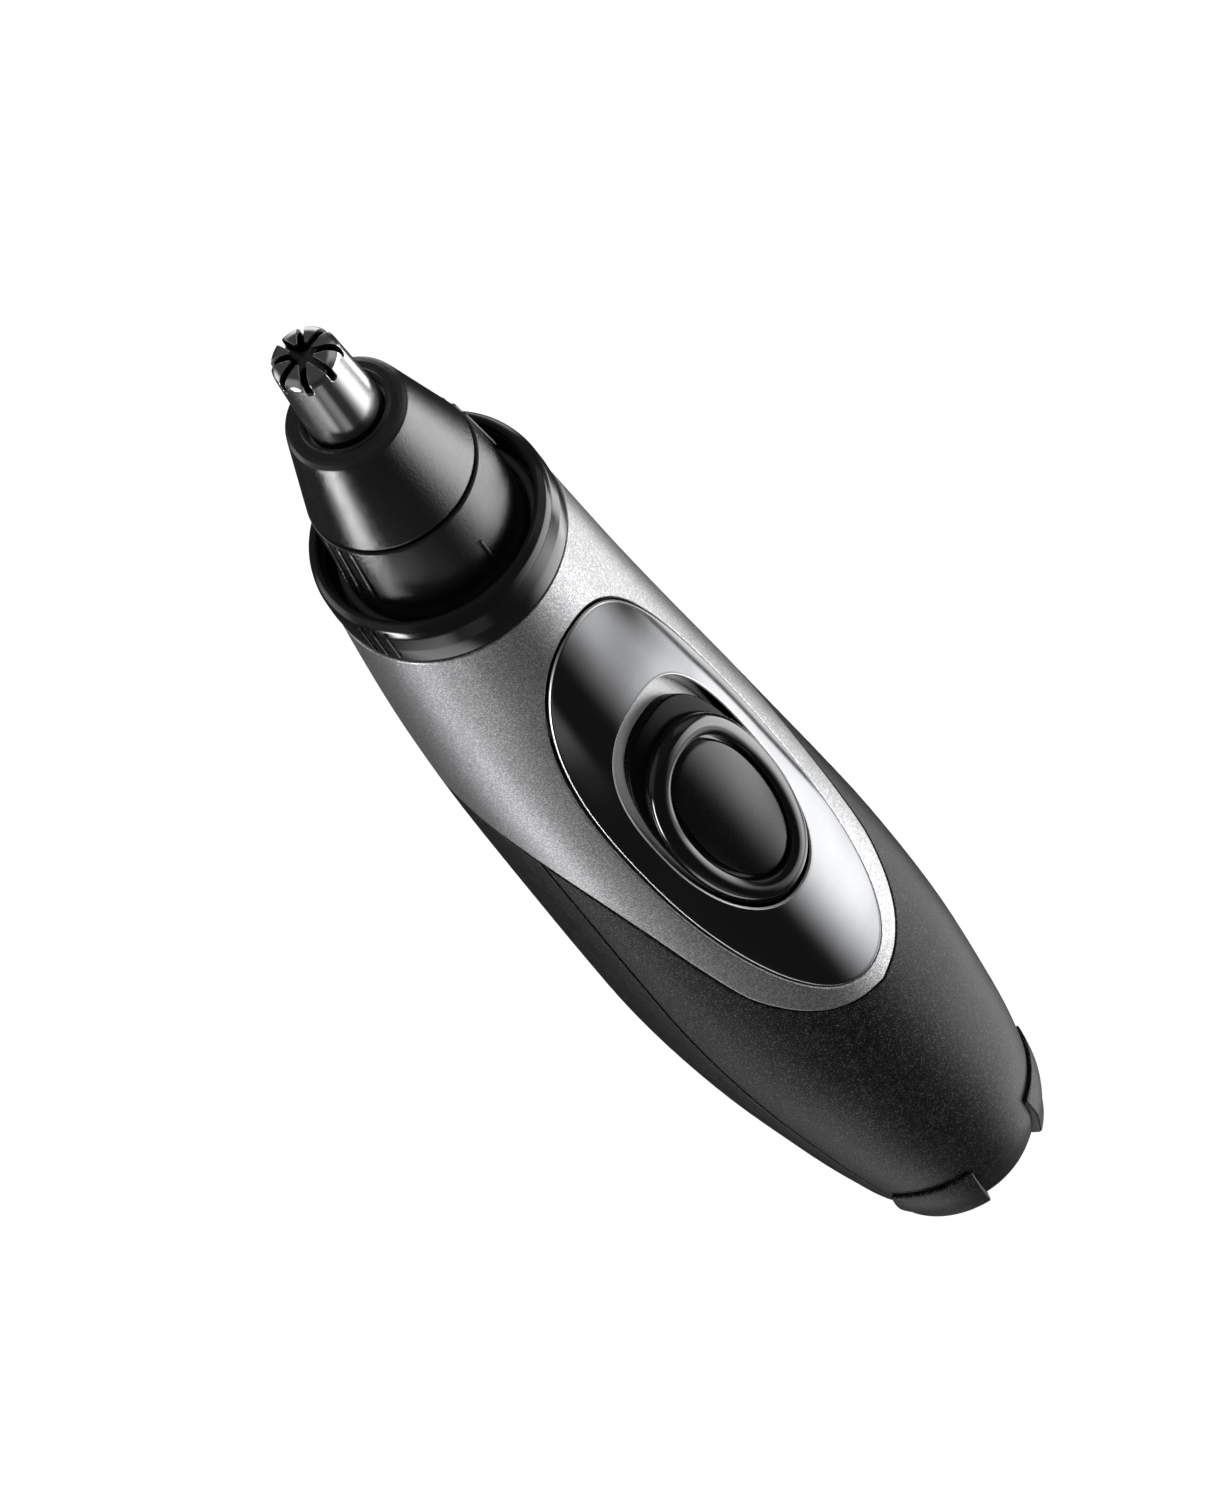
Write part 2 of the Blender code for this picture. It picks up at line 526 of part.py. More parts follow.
# ================================================================ suction and motor parts (local frame of head_axis)
chamber = finish("hair_chamber", lathe([(4.6, -7.2), (7.7, -7.2), (7.7, 12.6), (7.0, 12.6), (7.0, -6.5), (4.6, -6.5)],
                                       28, closed=True), M_AMBER, parent=head_axis)
screen = finish("filter_screen", lathe([(1.5, -6.2), (6.7, -6.2), (6.7, -5.8), (1.5, -5.8)], 32, closed=True),
                M_CAN, parent=head_axis)
housing = finish("fan_housing", lathe([(9.9, -21.5), (10.65, -21.5), (10.65, -7.6), (8.0, -7.6), (8.0, -8.4), (9.9, -8.4)],
                                      28, closed=True), M_WHITE, parent=head_axis)
can = finish("motor_can", lathe([(1.3, -24.0), (7.75, -24.0), (7.75, -46.0), (7.15, -46.0), (7.15, -24.7), (1.3, -24.7)],
                                32, closed=True), M_CAN, parent=head_axis)
magnet = finish("magnet_ring", lathe([(5.85, -42.5), (6.85, -42.5), (6.85, -29.0), (5.85, -29.0)], 28, closed=True),
                M_CAN, parent=head_axis)
endcap = finish("motor_endcap", lathe([(1.25, -47.9), (7.4, -47.9), (7.4, -46.3), (1.25, -46.3)], 28, closed=True),
                M_BLACK, parent=head_axis)

# ================================================================ frame and battery (upright axes)
EAR = dict(x=11.2, y0=-4.0 - Y_SHIFT, y1=2.0 - Y_SHIFT)
tube = finish("battery_tube", lathe([(TUBE_IN, 9.6), (TUBE_OUT, 9.6), (TUBE_OUT, 61.0), (1.2, 61.0), (1.2, 59.7),
                                     (TUBE_IN, 59.7)], 28, closed=True, cy=BY), M_WHITE)
ear1 = finish("tube_ear_tool", join(box(-EAR["x"], -7.9, EAR["y0"], EAR["y1"], 59.6, 61.0),
                                    box(7.9, EAR["x"], EAR["y0"], EAR["y1"], 59.6, 61.0)), None, helper=True)
boolean(tube, ear1, 'UNION')
MOUNT_Y = 6.4 - Y_SHIFT
mount = finish("motor_mount", lathe([(5.8, 61.4), (9.85, 61.4), (9.85, 73.0), (8.95, 73.0), (8.95, 62.8), (5.8, 62.8)],
                                    28, closed=True, cy=MOUNT_Y), M_WHITE)
ear2 = finish("mount_ear_tool", join(box(-EAR["x"], -7.0, EAR["y0"], EAR["y1"], 61.4, 62.8),
                                     box(7.0, EAR["x"], EAR["y0"], EAR["y1"], 61.4, 62.8)), None, helper=True)
boolean(mount, ear2, 'UNION')
SCREW_X, SCREW_Y = 9.5, -1.6 - Y_SHIFT
drill = finish("screw_drill", join(lathe([(0, 59.0), (1.15, 59.0), (1.15, 63.4), (0, 63.4)], 16, cx=-SCREW_X, cy=SCREW_Y),
                                   lathe([(0, 59.0), (1.15, 59.0), (1.15, 63.4), (0, 63.4)], 16, cx=SCREW_X, cy=SCREW_Y)),
               None, helper=True)
boolean(tube, drill)
boolean(mount, drill)
for nm, sx in (("frame_screw_left", -1), ("frame_screw_right", 1)):
    finish(nm, lathe([(0, 57.2), (0.5, 57.2), (0.85, 57.8), (0.85, 63.1), (1.6, 63.1), (1.6, 63.9), (1.2, 64.3), (0, 64.3)],
                     16, cx=sx * SCREW_X, cy=SCREW_Y), M_CAN)
strip = finish("minus_strip", box(-1.75, 1.75, BY + 8.7, BY + 9.05, 9.2, 59.0), M_BRASS)
plus = finish("plus_contact", lathe([(0, 59.1), (3.2, 59.1), (3.2, 59.4), (0, 59.4)], 20, cy=BY), M_BRASS)

# ================================================================ battery cap group (turns and pulls off along the base axis)
BO = (0, BY, 0)
cell = finish("aa_cell", lathe([(0, CELL_Z), (3.0, CELL_Z), (6.9, CELL_Z + 0.3), (CELL_R, CELL_Z + 0.8),
                                (CELL_R, CELL_Z + 48.6), (6.8, CELL_Z + 49.1), (2.75, CELL_Z + 49.1),
                                (2.75, CELL_Z + CELL_L), (0, CELL_Z + CELL_L)], 32, cy=BY), M_CELL, origin=BO)
cspring = finish("cell_spring", coil(3.4, 0.35, 4.75, 8.0, 2.5, 12, 5, cy=BY), M_BRASS, origin=BO)
cap = finish("battery_cap", lathe([(0, 0), (8.2, 0), (8.5, 0.25), (8.5, 0.6), (6.95, 0.6), (6.95, 1.7), (6.4, 1.7),
                                   (6.4, 2.9), (6.95, 2.9), (6.95, 4.4), (0, 4.4)], 36, cy=BY), M_CHAR, origin=BO)
cseal = finish("cap_seal", lathe([(7.12 + 0.4 * math.cos(2 * math.pi * k / 8),
                                   2.3 + 0.4 * math.sin(2 * math.pi * k / 8)) for k in range(8)], 24, closed=True, cy=BY),
               M_RUBBER, origin=BO)
def lug(span):
    """One lug: a web under the body's edge and a wing that climbs the outside of the body. Its sides lean."""
    b0, b1, t0, t1 = span
    steps, rows = 6, []
    # section in (radius, height): web, then the wing's outer face up, its top, and its inner face down
    sec = [(7.8, 0.0), (9.45, 0.0), (9.86, 0.35)]
    for k in range(1, 6):
        z = 0.35 + (LUG_H - 0.35) * k / 5
        sec.append((body_r(z) + 0.22 + 0.62 - 0.36 * k / 5 + 0.26 * (1 - k / 5), z))
    for k in range(5, -1, -1):
        z = 0.75 + (LUG_H - 0.75) * k / 5
        sec.append((body_r(z) + 0.22, z))
    sec.append((7.8, 0.55))
    for i in range(steps + 1):
        f = i / steps
        row = []
        for r, z in sec:
            v = z / LUG_H
            a = math.radians((b0 + (b1 - b0) * f) * (1 - v) + (t0 + (t1 - t0) * f) * v)
            row.append(Vector((r * math.sin(a), BY - r * math.cos(a), z)))
        rows.append(row)
    bm = bmesh.new()
    V = [[bm.verts.new(p) for p in row] for row in rows]
    m = len(sec)
    for i in range(steps):
        for j in range(m):
            k = (j + 1) % m
            bm.faces.new((V[i][j], V[i][k], V[i + 1][k], V[i + 1][j]))
    bm.faces.new(V[0])
    bm.faces.new(list(reversed(V[-1])))
    return bm
lugs = finish("lug_tool", join(*[lug(a) for a in LUG_SPANS]), None, origin=BO, helper=True)
boolean(cap, lugs, 'UNION')
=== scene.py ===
# Battery nose and ear hair trimmer: the visual model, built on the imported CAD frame.
# Sizes are in millimetres in this file and are turned into metres when a mesh is made.
import bpy, bmesh, math
import numpy as np
from mathutils import Vector, Matrix
from mathutils.geometry import delaunay_2d_cdt


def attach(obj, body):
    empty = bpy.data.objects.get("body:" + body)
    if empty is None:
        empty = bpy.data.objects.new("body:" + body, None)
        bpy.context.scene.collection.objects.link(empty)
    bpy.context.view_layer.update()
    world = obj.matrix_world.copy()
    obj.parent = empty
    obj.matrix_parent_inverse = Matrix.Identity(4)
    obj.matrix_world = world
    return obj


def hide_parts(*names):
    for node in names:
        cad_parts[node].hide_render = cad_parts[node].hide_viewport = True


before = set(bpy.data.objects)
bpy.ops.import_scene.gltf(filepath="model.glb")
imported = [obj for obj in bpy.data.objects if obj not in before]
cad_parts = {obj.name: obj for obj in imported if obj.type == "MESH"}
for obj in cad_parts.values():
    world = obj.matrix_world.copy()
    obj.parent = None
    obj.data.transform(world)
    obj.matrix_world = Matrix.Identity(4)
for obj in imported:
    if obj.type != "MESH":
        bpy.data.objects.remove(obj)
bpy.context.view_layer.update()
MM = 0.001

# ---------------------------------------------------------------- driving dimensions, as in the CAD
Y_SHIFT = 1.693
BASE_AXIS_Y = -0.60
GAP, WALL, WALL_MOUTH, BODY_BOTTOM = 0.30, 1.70, 1.10, 0.90
HEAD_Z, HEAD_Y, HEAD_LEAN = 117.10, 0.58, math.radians(7.0)
HEAD_TURN = -5.0
PARTING_AZ = 77.0
BODY_R = [(0.0, 8.55), (0.9, 8.95), (5.0, 10.84), (9.0, 11.81), (14.0, 12.83), (20.0, 13.78),
          (30.0, 15.12), (40.0, 15.84), (48.0, 16.02), (56.0, 15.84), (66.0, 15.48), (82.0, 14.83),
          (100.0, 13.82), (109.0, 13.24), (119.5, 12.50)]
BODY_Y = [(0.0, -0.60), (10.0, -0.60), (28.0, 0.83), (44.0, 2.25), (58.0, 2.85), (74.0, 3.36),
          (88.0, 3.60), (100.0, 2.98), (110.0, 1.75), (119.5, 0.33)]
SHIELD_EDGE = [(0.0, 41.4), (14.0, 42.6), (26.0, 45.0), (36.0, 48.6), (43.5, 52.6), (49.5, 58.4),
               (56.5, 65.6), (64.5, 72.2), (72.5, 77.3), (82.0, 82.0), (93.0, 85.9), (110.0, 89.8),
               (140.0, 93.2), (180.0, 94.4)]
PANEL = dict(a=10.42, b=32.5, z=76.7, p=2.22)
RECESS = dict(a=7.70, b=17.2, z=77.1, p=2.34)
SLIDER = dict(a=7.25, b=15.45, z=75.7, p=2.3)
RING = dict(a=7.00, b=13.4, z=74.9, p=2.15)
DOME = dict(a=4.70, b=10.3, z=74.9, p=2.1)
LUG_SPANS = ((-86.0, -31.5, -73.0, -27.5), (24.0, 80.0, 18.0, 66.0), (152.0, 208.0, 154.0, 206.0))
LUG_H = 8.6
BLADE_R0, BLADE_R1, BLADE_H0, BLADE_H1 = 4.08, 3.50, 25.8, 38.3
SLOT_W, SLOT_DEPTH = 0.72, 2.1
BY = BASE_AXIS_Y - Y_SHIFT
IN = 0.012          # how far visible skins would sit inside the CAD skins; nothing reads it

# ---------------------------------------------------------------- camera
cam_data = bpy.data.cameras.new("camera")
cam_data.sensor_width = 36.0
cam_data.lens = 285.4
cam_data.clip_start, cam_data.clip_end = 0.01, 20.0
camera = bpy.data.objects.new("camera", cam_data)
bpy.context.scene.collection.objects.link(camera)
CAM_RIGHT = Vector((0.543793445, -0.713114524, -0.442443628))
CAM_DOWN = Vector((-0.806172025, -0.297394684, -0.511510574))
CAM_FWD = Vector((0.233185237, 0.634841773, -0.73661426))
rot = Matrix((CAM_RIGHT, -CAM_DOWN, -CAM_FWD)).transposed().to_4x4()
camera.matrix_world = Matrix.Translation(Vector((-278.27888, -757.09854, 956.71574)) * MM) @ rot
bpy.context.scene.camera = camera
bpy.context.scene.view_settings.view_transform = "Standard"

# ---------------------------------------------------------------- small mathematics
def spline(table, x):
    n = len(table)
    x = min(max(x, table[0][0]), table[-1][0])
    i = 0
    while i < n - 2 and x > table[i + 1][0]:
        i += 1
    def slope(k):
        if k == 0:
            return (table[1][1] - table[0][1]) / (table[1][0] - table[0][0])
        if k == n - 1:
            return (table[-1][1] - table[-2][1]) / (table[-1][0] - table[-2][0])
        h0 = table[k][0] - table[k - 1][0]
        h1 = table[k + 1][0] - table[k][0]
        return ((table[k][1] - table[k - 1][1]) / h0 * h1 + (table[k + 1][1] - table[k][1]) / h1 * h0) / (h0 + h1)
    x0, y0 = table[i]
    x1, y1 = table[i + 1]
    h = x1 - x0
    t = (x - x0) / h
    m0, m1 = slope(i) * h, slope(i + 1) * h
    return ((2 * t**3 - 3 * t**2 + 1) * y0 + (t**3 - 2 * t**2 + t) * m0
            + (-2 * t**3 + 3 * t**2) * y1 + (t**3 - t**2) * m1)

def body_r(z):
    return spline(BODY_R, z)

def body_y(z):
    return spline(BODY_Y, z) - Y_SHIFT

def wall(z):
    return WALL_MOUTH + (WALL - WALL_MOUTH) * min(1.0, max(0.0, z / 6.0))

def skin(az, z, off=0.0):
    a = math.radians(az)
    r = body_r(z) + off
    return Vector((r * math.sin(a), body_y(z) - r * math.cos(a), z))

def front(x, z, off=0.0):
    r = body_r(z)
    a = math.asin(max(-1.0, min(1.0, x / r)))
    return Vector(((r + off) * math.sin(a), body_y(z) - (r + off) * math.cos(a), z))

def oval(spec, t, grow=0.0):
    c, s = math.cos(2 * math.pi * t), math.sin(2 * math.pi * t)
    e = 2.0 / spec["p"]
    return ((spec["a"] + grow) * math.copysign(abs(c) ** e, c),
            spec["z"] + (spec["b"] + grow) * math.copysign(abs(s) ** e, s))

def oval_points(spec, n, grow=0.0):
    dense = [oval(spec, k / 1440.0, grow) for k in range(1441)]
    run = [0.0]
    for k in range(1440):
        run.append(run[-1] + math.dist(dense[k], dense[k + 1]))
    out, j = [], 0
    for i in range(n):
        want = run[-1] * i / n
        while run[j + 1] < want:
            j += 1
        f = (want - run[j]) / (run[j + 1] - run[j])
        out.append((dense[j][0] + f * (dense[j + 1][0] - dense[j][0]),
                    dense[j][1] + f * (dense[j + 1][1] - dense[j][1])))
    return out

def seam_z(az, drop=0.0):
    z = HEAD_Z
    for _ in range(6):
        p = skin(az, z)
        z = HEAD_Z + math.tan(HEAD_LEAN) * (p.y - (HEAD_Y - Y_SHIFT)) - drop
    return z

HEAD = Matrix.Translation(Vector((0, HEAD_Y - Y_SHIFT, HEAD_Z))) @ Matrix.Rotation(HEAD_LEAN, 4, 'X')

# ---------------------------------------------------------------- mesh helpers
def piece(name, bm, mat, body, replaces=(), matrix=None, smooth=30.0, orient=True):
    """A millimetre bmesh becomes a named piece that rides on a body."""
    if orient:
        bmesh.ops.recalc_face_normals(bm, faces=bm.faces)
    m = matrix if matrix is not None else Matrix.Identity(4)
    for v in bm.verts:
        v.co = (m @ v.co) * MM
    me = bpy.data.meshes.new(name)
    bm.to_mesh(me)
    bm.free()
    ob = bpy.data.objects.new(name, me)
    bpy.context.scene.collection.objects.link(ob)
    me.materials.append(mat)
    me.shade_smooth()
    me.set_sharp_from_angle(angle=math.radians(smooth))
    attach(ob, body)
    if replaces:
        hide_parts(*replaces)
    return ob

def apply_modifiers(ob):
    bpy.context.view_layer.update()
    dg = bpy.context.evaluated_depsgraph_get()
    me = bpy.data.meshes.new_from_object(ob.evaluated_get(dg))
    old = ob.data
    ob.modifiers.clear()
    ob.data = me
    bpy.data.meshes.remove(old)
    return ob

def lathe(profile, n, closed=False, cx=0.0, cy=0.0):
    bm = bmesh.new()
    ring = []
    for r, z in profile:
        if abs(r) < 1e-9:
            ring.append([bm.verts.new((cx, cy, z))])
        else:
            ring.append([bm.verts.new((cx + r * math.cos(2 * math.pi * k / n), cy + r * math.sin(2 * math.pi * k / n), z))
                         for k in range(n)])
    m = len(ring)
    for i in range(m if closed else m - 1):
        a, b = ring[i], ring[(i + 1) % m]
        for k in range(n):
            l = (k + 1) % n
            if len(a) == 1 and len(b) == 1:
                continue
            if len(a) == 1:
                bm.faces.new((a[0], b[l], b[k]))
            elif len(b) == 1:
                bm.faces.new((a[k], a[l], b[0]))
            else:
                bm.faces.new((a[k], a[l], b[l], b[k]))
    return bm

def fillet(profile, radii, seg=6):
    """Round the corners of a closed (radius, height) profile; radii maps corner index to radius."""
    out, n = [], len(profile)
    for i, p in enumerate(profile):
        r = radii.get(i, 0.0) if isinstance(radii, dict) else radii
        a, b = Vector(profile[i - 1]), Vector(profile[(i + 1) % n])
        p = Vector(p)
        if r <= 0:
            out.append((p.x, p.y))
            continue
        u, w = (a - p), (b - p)
        lu, lw = u.length, w.length
        u, w = u / lu, w / lw
        ang = math.acos(max(-1, min(1, u.dot(w))))
        if ang > math.radians(176):
            out.append((p.x, p.y))
            continue
        t = min(r / math.tan(ang / 2), lu * 0.48, lw * 0.48)
        rr = t * math.tan(ang / 2)
        c = p + (u + w).normalized() * (rr / math.sin(ang / 2))
        s, e = p + u * t - c, p + w * t - c
        th = math.acos(max(-1, min(1, s.dot(e) / (s.length * e.length))))
        for k in range(seg + 1):
            f = k / seg
            v = (math.sin((1 - f) * th) * s + math.sin(f * th) * e) / math.sin(th)
            out.append((c.x + v.x, c.y + v.y))
    return out

def prism(points, vec):
    bm = bmesh.new()
    f = bm.faces.new([bm.verts.new(p) for p in points])
    r = bmesh.ops.extrude_face_region(bm, geom=[f])
    bmesh.ops.translate(bm, vec=vec, verts=[e for e in r["geom"] if isinstance(e, bmesh.types.BMVert)])
    bmesh.ops.recalc_face_normals(bm, faces=bm.faces)
    return bm

def join(*bms):
    out = bms[0]
    for b in bms[1:]:
        me = bpy.data.meshes.new("tmp")
        b.to_mesh(me)
        b.free()
        out.from_mesh(me)
        bpy.data.meshes.remove(me)
    return out

def lofted(rows, cap_first=None, cap_last=None, closed_rows=False):
    """Closed loops of equal length joined by quads."""
    bm = bmesh.new()
    V = [[bm.verts.new(p) for p in row] for row in rows]
    n = len(V[0])
    m = len(V)
    for r in range(m if closed_rows else m - 1):
        a, b = V[r], V[(r + 1) % m]
        for c in range(n):
            d = (c + 1) % n
            bm.faces.new((a[c], a[d], b[d], b[c]))
    for row, cap in ((V[0], cap_first), (V[-1], cap_last)):
        if cap is not None:
            v = bm.verts.new(cap)
            for c in range(n):
                bm.faces.new((row[c], row[(c + 1) % n], v))
    return bm

def coil(radius, wire, z0, z1, turns, per_turn, sides, cx=0.0, cy=0.0):
    n = int(turns * per_turn)
    rows = []
    for i in range(n + 1):
        a = 2 * math.pi * turns * i / n
        # closed end turns lie flat
        f = i / n
        e1 = min(1.0, f * turns) if f * turns < 1 else 1.0
        c = Vector((cx + radius * math.cos(a), cy + radius * math.sin(a), z0 + wire + (z1 - z0 - 2 * wire) * f))
        t = Vector((-radius * math.sin(a), radius * math.cos(a), (z1 - z0 - 2 * wire) / (2 * math.pi * turns))).normalized()
        e = Vector((math.cos(a), math.sin(a), 0))
        g = t.cross(e)
        rows.append([c + wire * (math.cos(2 * math.pi * k / sides) * e + math.sin(2 * math.pi * k / sides) * g)
                     for k in range(sides)])
    return lofted(rows, sum(rows[0], Vector()) / sides, sum(rows[-1], Vector()) / sides)

# ---------------------------------------------------------------- plates with rounded edges
def offset_loop(loop, dist, metric, periodic):
    """Move a (u, v) line sideways by dist millimetres along its surface, to its left; corners are mitred.
    periodic: the line runs once round, and its first and last points are the same place."""
    out = []
    n = len(loop)
    turn = math.copysign(360.0, loop[-1][0] - loop[0][0]) if periodic else 0.0
    for i, (u, v) in enumerate(loop):
        k = metric(v)
        if periodic and i == 0:
            a0, a1 = (loop[-2][0] - turn, loop[-2][1]), loop[1]
        elif periodic and i == n - 1:
            a0, a1 = loop[-2], (loop[1][0] + turn, loop[1][1])
        else:
            a0, a1 = loop[i - 1], loop[(i + 1) % n]
        t0 = Vector(((u - a0[0]) * k, v - a0[1])).normalized()
        t1 = Vector(((a1[0] - u) * k, a1[1] - v)).normalized()
        n0, n1 = Vector((-t0.y, t0.x)), Vector((-t1.y, t1.x))
        w = (n0 + n1) / max(0.35, 1.0 + n0.dot(n1))
        out.append((u + dist * w.x / k, v + dist * w.y))
    return out

def edge_rows(loop, e, metric, periodic, sign, guard):
    """Rows just inside the edge, over its rounding and at the foot of the side wall."""
    rows = []
    for k in range(-1, 7):
        th = math.radians(15.0 * max(k, 0))
        d = e * (1 - math.sin(th)) + (guard if k < 0 else 0.0)
        off = -e * (1 - math.cos(th))
        rows.append([(a, z, off) for a, z in offset_loop(loop, sign * d, metric, periodic)])
    rows.append([(a, z, None) for a, z in loop])
    return rows

def inside(pts, poly):
    """Which points lie in a closed polygon."""
    x, y = pts[:, 0], pts[:, 1]
    c = np.zeros(len(pts), bool)
    px, py = poly[:, 0], poly[:, 1]
    qx, qy = np.roll(px, 1), np.roll(py, 1)
    for xi, yi, xj, yj in zip(px, py, qx, qy):
        if yi == yj:
            continue
        c ^= ((yi > y) != (yj > y)) & (x < (xj - xi) * (y - yi) / (yj - yi) + xi)
    return c

def plate(S, metric, scale, depth, step, e=0.26, outer=None, holes=(), ring=None, guard=0.12):
    """A sheet over the surface S(u, v, off), with rounded edges and real thickness. outer is a closed line with
    the plate on its left, and so are the holes; ring=(lower, upper) makes a plate right round the body."""
    strips, polys = [], []
    if ring:
        rb = edge_rows(ring[0], e, metric, True, 1.0, guard)
        rt = edge_rows(ring[1], e, metric, True, -1.0, guard)
        strips += [(rb, True), (rt, True)]
        b0, t0 = [q[:2] for q in rb[0]], [q[:2] for q in rt[0]]
        nv = max(2, int((t0[-1][1] - b0[-1][1]) / step))
        side = [(b0[-1][0] + (t0[-1][0] - b0[-1][0]) * i / nv, b0[-1][1] + (t0[-1][1] - b0[-1][1]) * i / nv)
                for i in range(1, nv)]
        polys.append(b0 + side + t0[::-1] + [(a - 360.0, z) for a, z in side[::-1]])
    else:
        ro = edge_rows(outer, e, metric, False, 1.0, guard)
        strips.append((ro, False))
        polys.append([q[:2] for q in ro[0]])
    for h in holes:
        rh = edge_rows(h, e, metric, False, 1.0, guard)
        strips.append((rh, False))
        polys.append([q[:2] for q in rh[0]])
    flat = [np.array([(a * scale, z) for a, z in p]) for p in polys]
    pts = np.concatenate(flat)
    edges, s = [], 0
    for p in flat:
        edges += [(s + i, s + (i + 1) % len(p)) for i in range(len(p))]
        s += len(p)
    # evenly spaced filling points, kept clear of the edges
    x0, y0 = pts.min(0)
    x1, y1 = pts.max(0)
    grid = []
    for r in range(int((y1 - y0) / (step * 0.866)) + 1):
        xs = np.arange(x0 + step * (0.25 if r % 2 else 0.75), x1, step)
        grid.append(np.stack([xs, np.full(len(xs), y0 + step * 0.5 + r * step * 0.866)], 1))
    grid = np.concatenate(grid)
    ok = inside(grid, flat[0])
    for h in flat[1:]:
        ok &= ~inside(grid, h)
    grid = grid[ok]
    far = np.ones(len(grid), bool)
    for i in range(0, len(pts), 64):
        d = grid[:, None, :] - pts[None, i:i + 64, :]
        far &= (d ** 2).sum(2).min(1) > (0.6 * step) ** 2
    allp = np.concatenate([pts, grid[far]])
    vo, _, fo, _, _, _ = delaunay_2d_cdt([Vector(p) for p in allp.tolist()], edges, [], 0, 1e-7)
    V = np.array([(v.x, v.y) for v in vo])
    cen = np.array([V[list(f)].mean(0) for f in fo])
    ok = inside(cen, flat[0])
    for h in flat[1:]:
        ok &= ~inside(cen, h)
    faces = [f for f, k in zip(fo, ok) if k]
    bm = bmesh.new()
    for back in (False, True):
        vs = [bm.verts.new(S(x / scale, z, -depth(z) if back else 0.0)) for x, z in V.tolist()]
        for f in faces:
            bm.faces.new([vs[i] for i in (tuple(reversed(f)) if back else f)])
    for rows, periodic in strips:
        rows = rows + [[(a, z, None) for a, z, _ in rows[0]]]
        W = [[bm.verts.new(S(a, z, -depth(z) if o is None else o)) for a, z, o in r] for r in rows]
        n = len(W[0])
        for r in range(len(W) - 1):
            for c in range(n - 1 if periodic else n):
                d = (c + 1) % n
                bm.faces.new((W[r][c], W[r][d], W[r + 1][d], W[r + 1][c]))
    bmesh.ops.remove_doubles(bm, verts=bm.verts, dist=2e-4)
    loose = [v for v in bm.verts if not v.link_faces]
    bmesh.ops.delete(bm, geom=loose, context='VERTS')
    return bm

# ---------------------------------------------------------------- materials
def nodes_of(name):
    m = bpy.data.materials.new(name)
    m.use_nodes = True
    nt = m.node_tree
    return m, nt, nt.nodes["Principled BSDF"]

def noise(nt, coord, scale, detail=2.0, rough=0.5):
    n = nt.nodes.new("ShaderNodeTexNoise")
    n.inputs["Scale"].default_value = scale
    n.inputs["Detail"].default_value = detail
    n.inputs["Roughness"].default_value = rough
    nt.links.new(coord.outputs["Object"], n.inputs["Vector"])
    return n

def ramp(nt, src, lo, hi, a, b):
    r = nt.nodes.new("ShaderNodeMapRange")
    r.inputs["From Min"].default_value = lo
    r.inputs["From Max"].default_value = hi
    r.inputs["To Min"].default_value = a
    r.inputs["To Max"].default_value = b
    nt.links.new(src, r.inputs["Value"])
    return r.outputs["Result"]

def mix_color(nt, fac, a, b):
    x = nt.nodes.new("ShaderNodeMix")
    x.data_type = 'RGBA'
    x.inputs["A"].default_value = (*a, 1)
    x.inputs["B"].default_value = (*b, 1)
    nt.links.new(fac, x.inputs["Factor"])
    return x.outputs["Result"]

def bump(nt, bsdf, height, strength, dist):
    b = nt.nodes.new("ShaderNodeBump")
    b.inputs["Strength"].default_value = strength
    b.inputs["Distance"].default_value = dist
    nt.links.new(height, b.inputs["Height"])
    nt.links.new(b.outputs["Normal"], bsdf.inputs["Normal"])
    return b

def coords(nt):
    return nt.nodes.new("ShaderNodeTexCoord")

def metallic_paint(name, base, bright, metal, rough, flake=5200.0, amount=0.5, coat=0.0, rb=0.08, power=3.0, spec=0.5):
    """Paint with fine metal flakes: each flake is a small cell with its own lightness and tilt."""
    m, nt, b = nodes_of(name)
    tc = coords(nt)
    v = nt.nodes.new("ShaderNodeTexVoronoi")
    v.inputs["Scale"].default_value = flake
    nt.links.new(tc.outputs["Object"], v.inputs["Vector"])
    sep = nt.nodes.new("ShaderNodeSeparateColor")
    nt.links.new(v.outputs["Color"], sep.inputs["Color"])
    cloud = noise(nt, tc, 900.0, 3.0, 0.6)
    mul = nt.nodes.new("ShaderNodeMath")
    mul.operation = 'POWER'
    nt.links.new(sep.outputs["Red"], mul.inputs[0])
    mul.inputs[1].default_value = power
    col = mix_color(nt, mul.outputs[0], base, bright)
    nt.links.new(col, b.inputs["Base Color"])
    nt.links.new(ramp(nt, sep.outputs["Green"], 0, 1, rough - rb, rough + rb), b.inputs["Roughness"])
    b.inputs["Metallic"].default_value = metal
    b.inputs["Specular IOR Level"].default_value = spec
    b.inputs["Coat Weight"].default_value = coat
    b.inputs["Coat Roughness"].default_value = 0.12
    n = nt.nodes.new("ShaderNodeMath")
    n.operation = 'MULTIPLY_ADD'
    nt.links.new(sep.outputs["Blue"], n.inputs[0])
    n.inputs[1].default_value = amount
    nt.links.new(cloud.outputs["Fac"], n.inputs[2])
    bump(nt, b, n.outputs[0], 0.35, 0.00003)
    return m

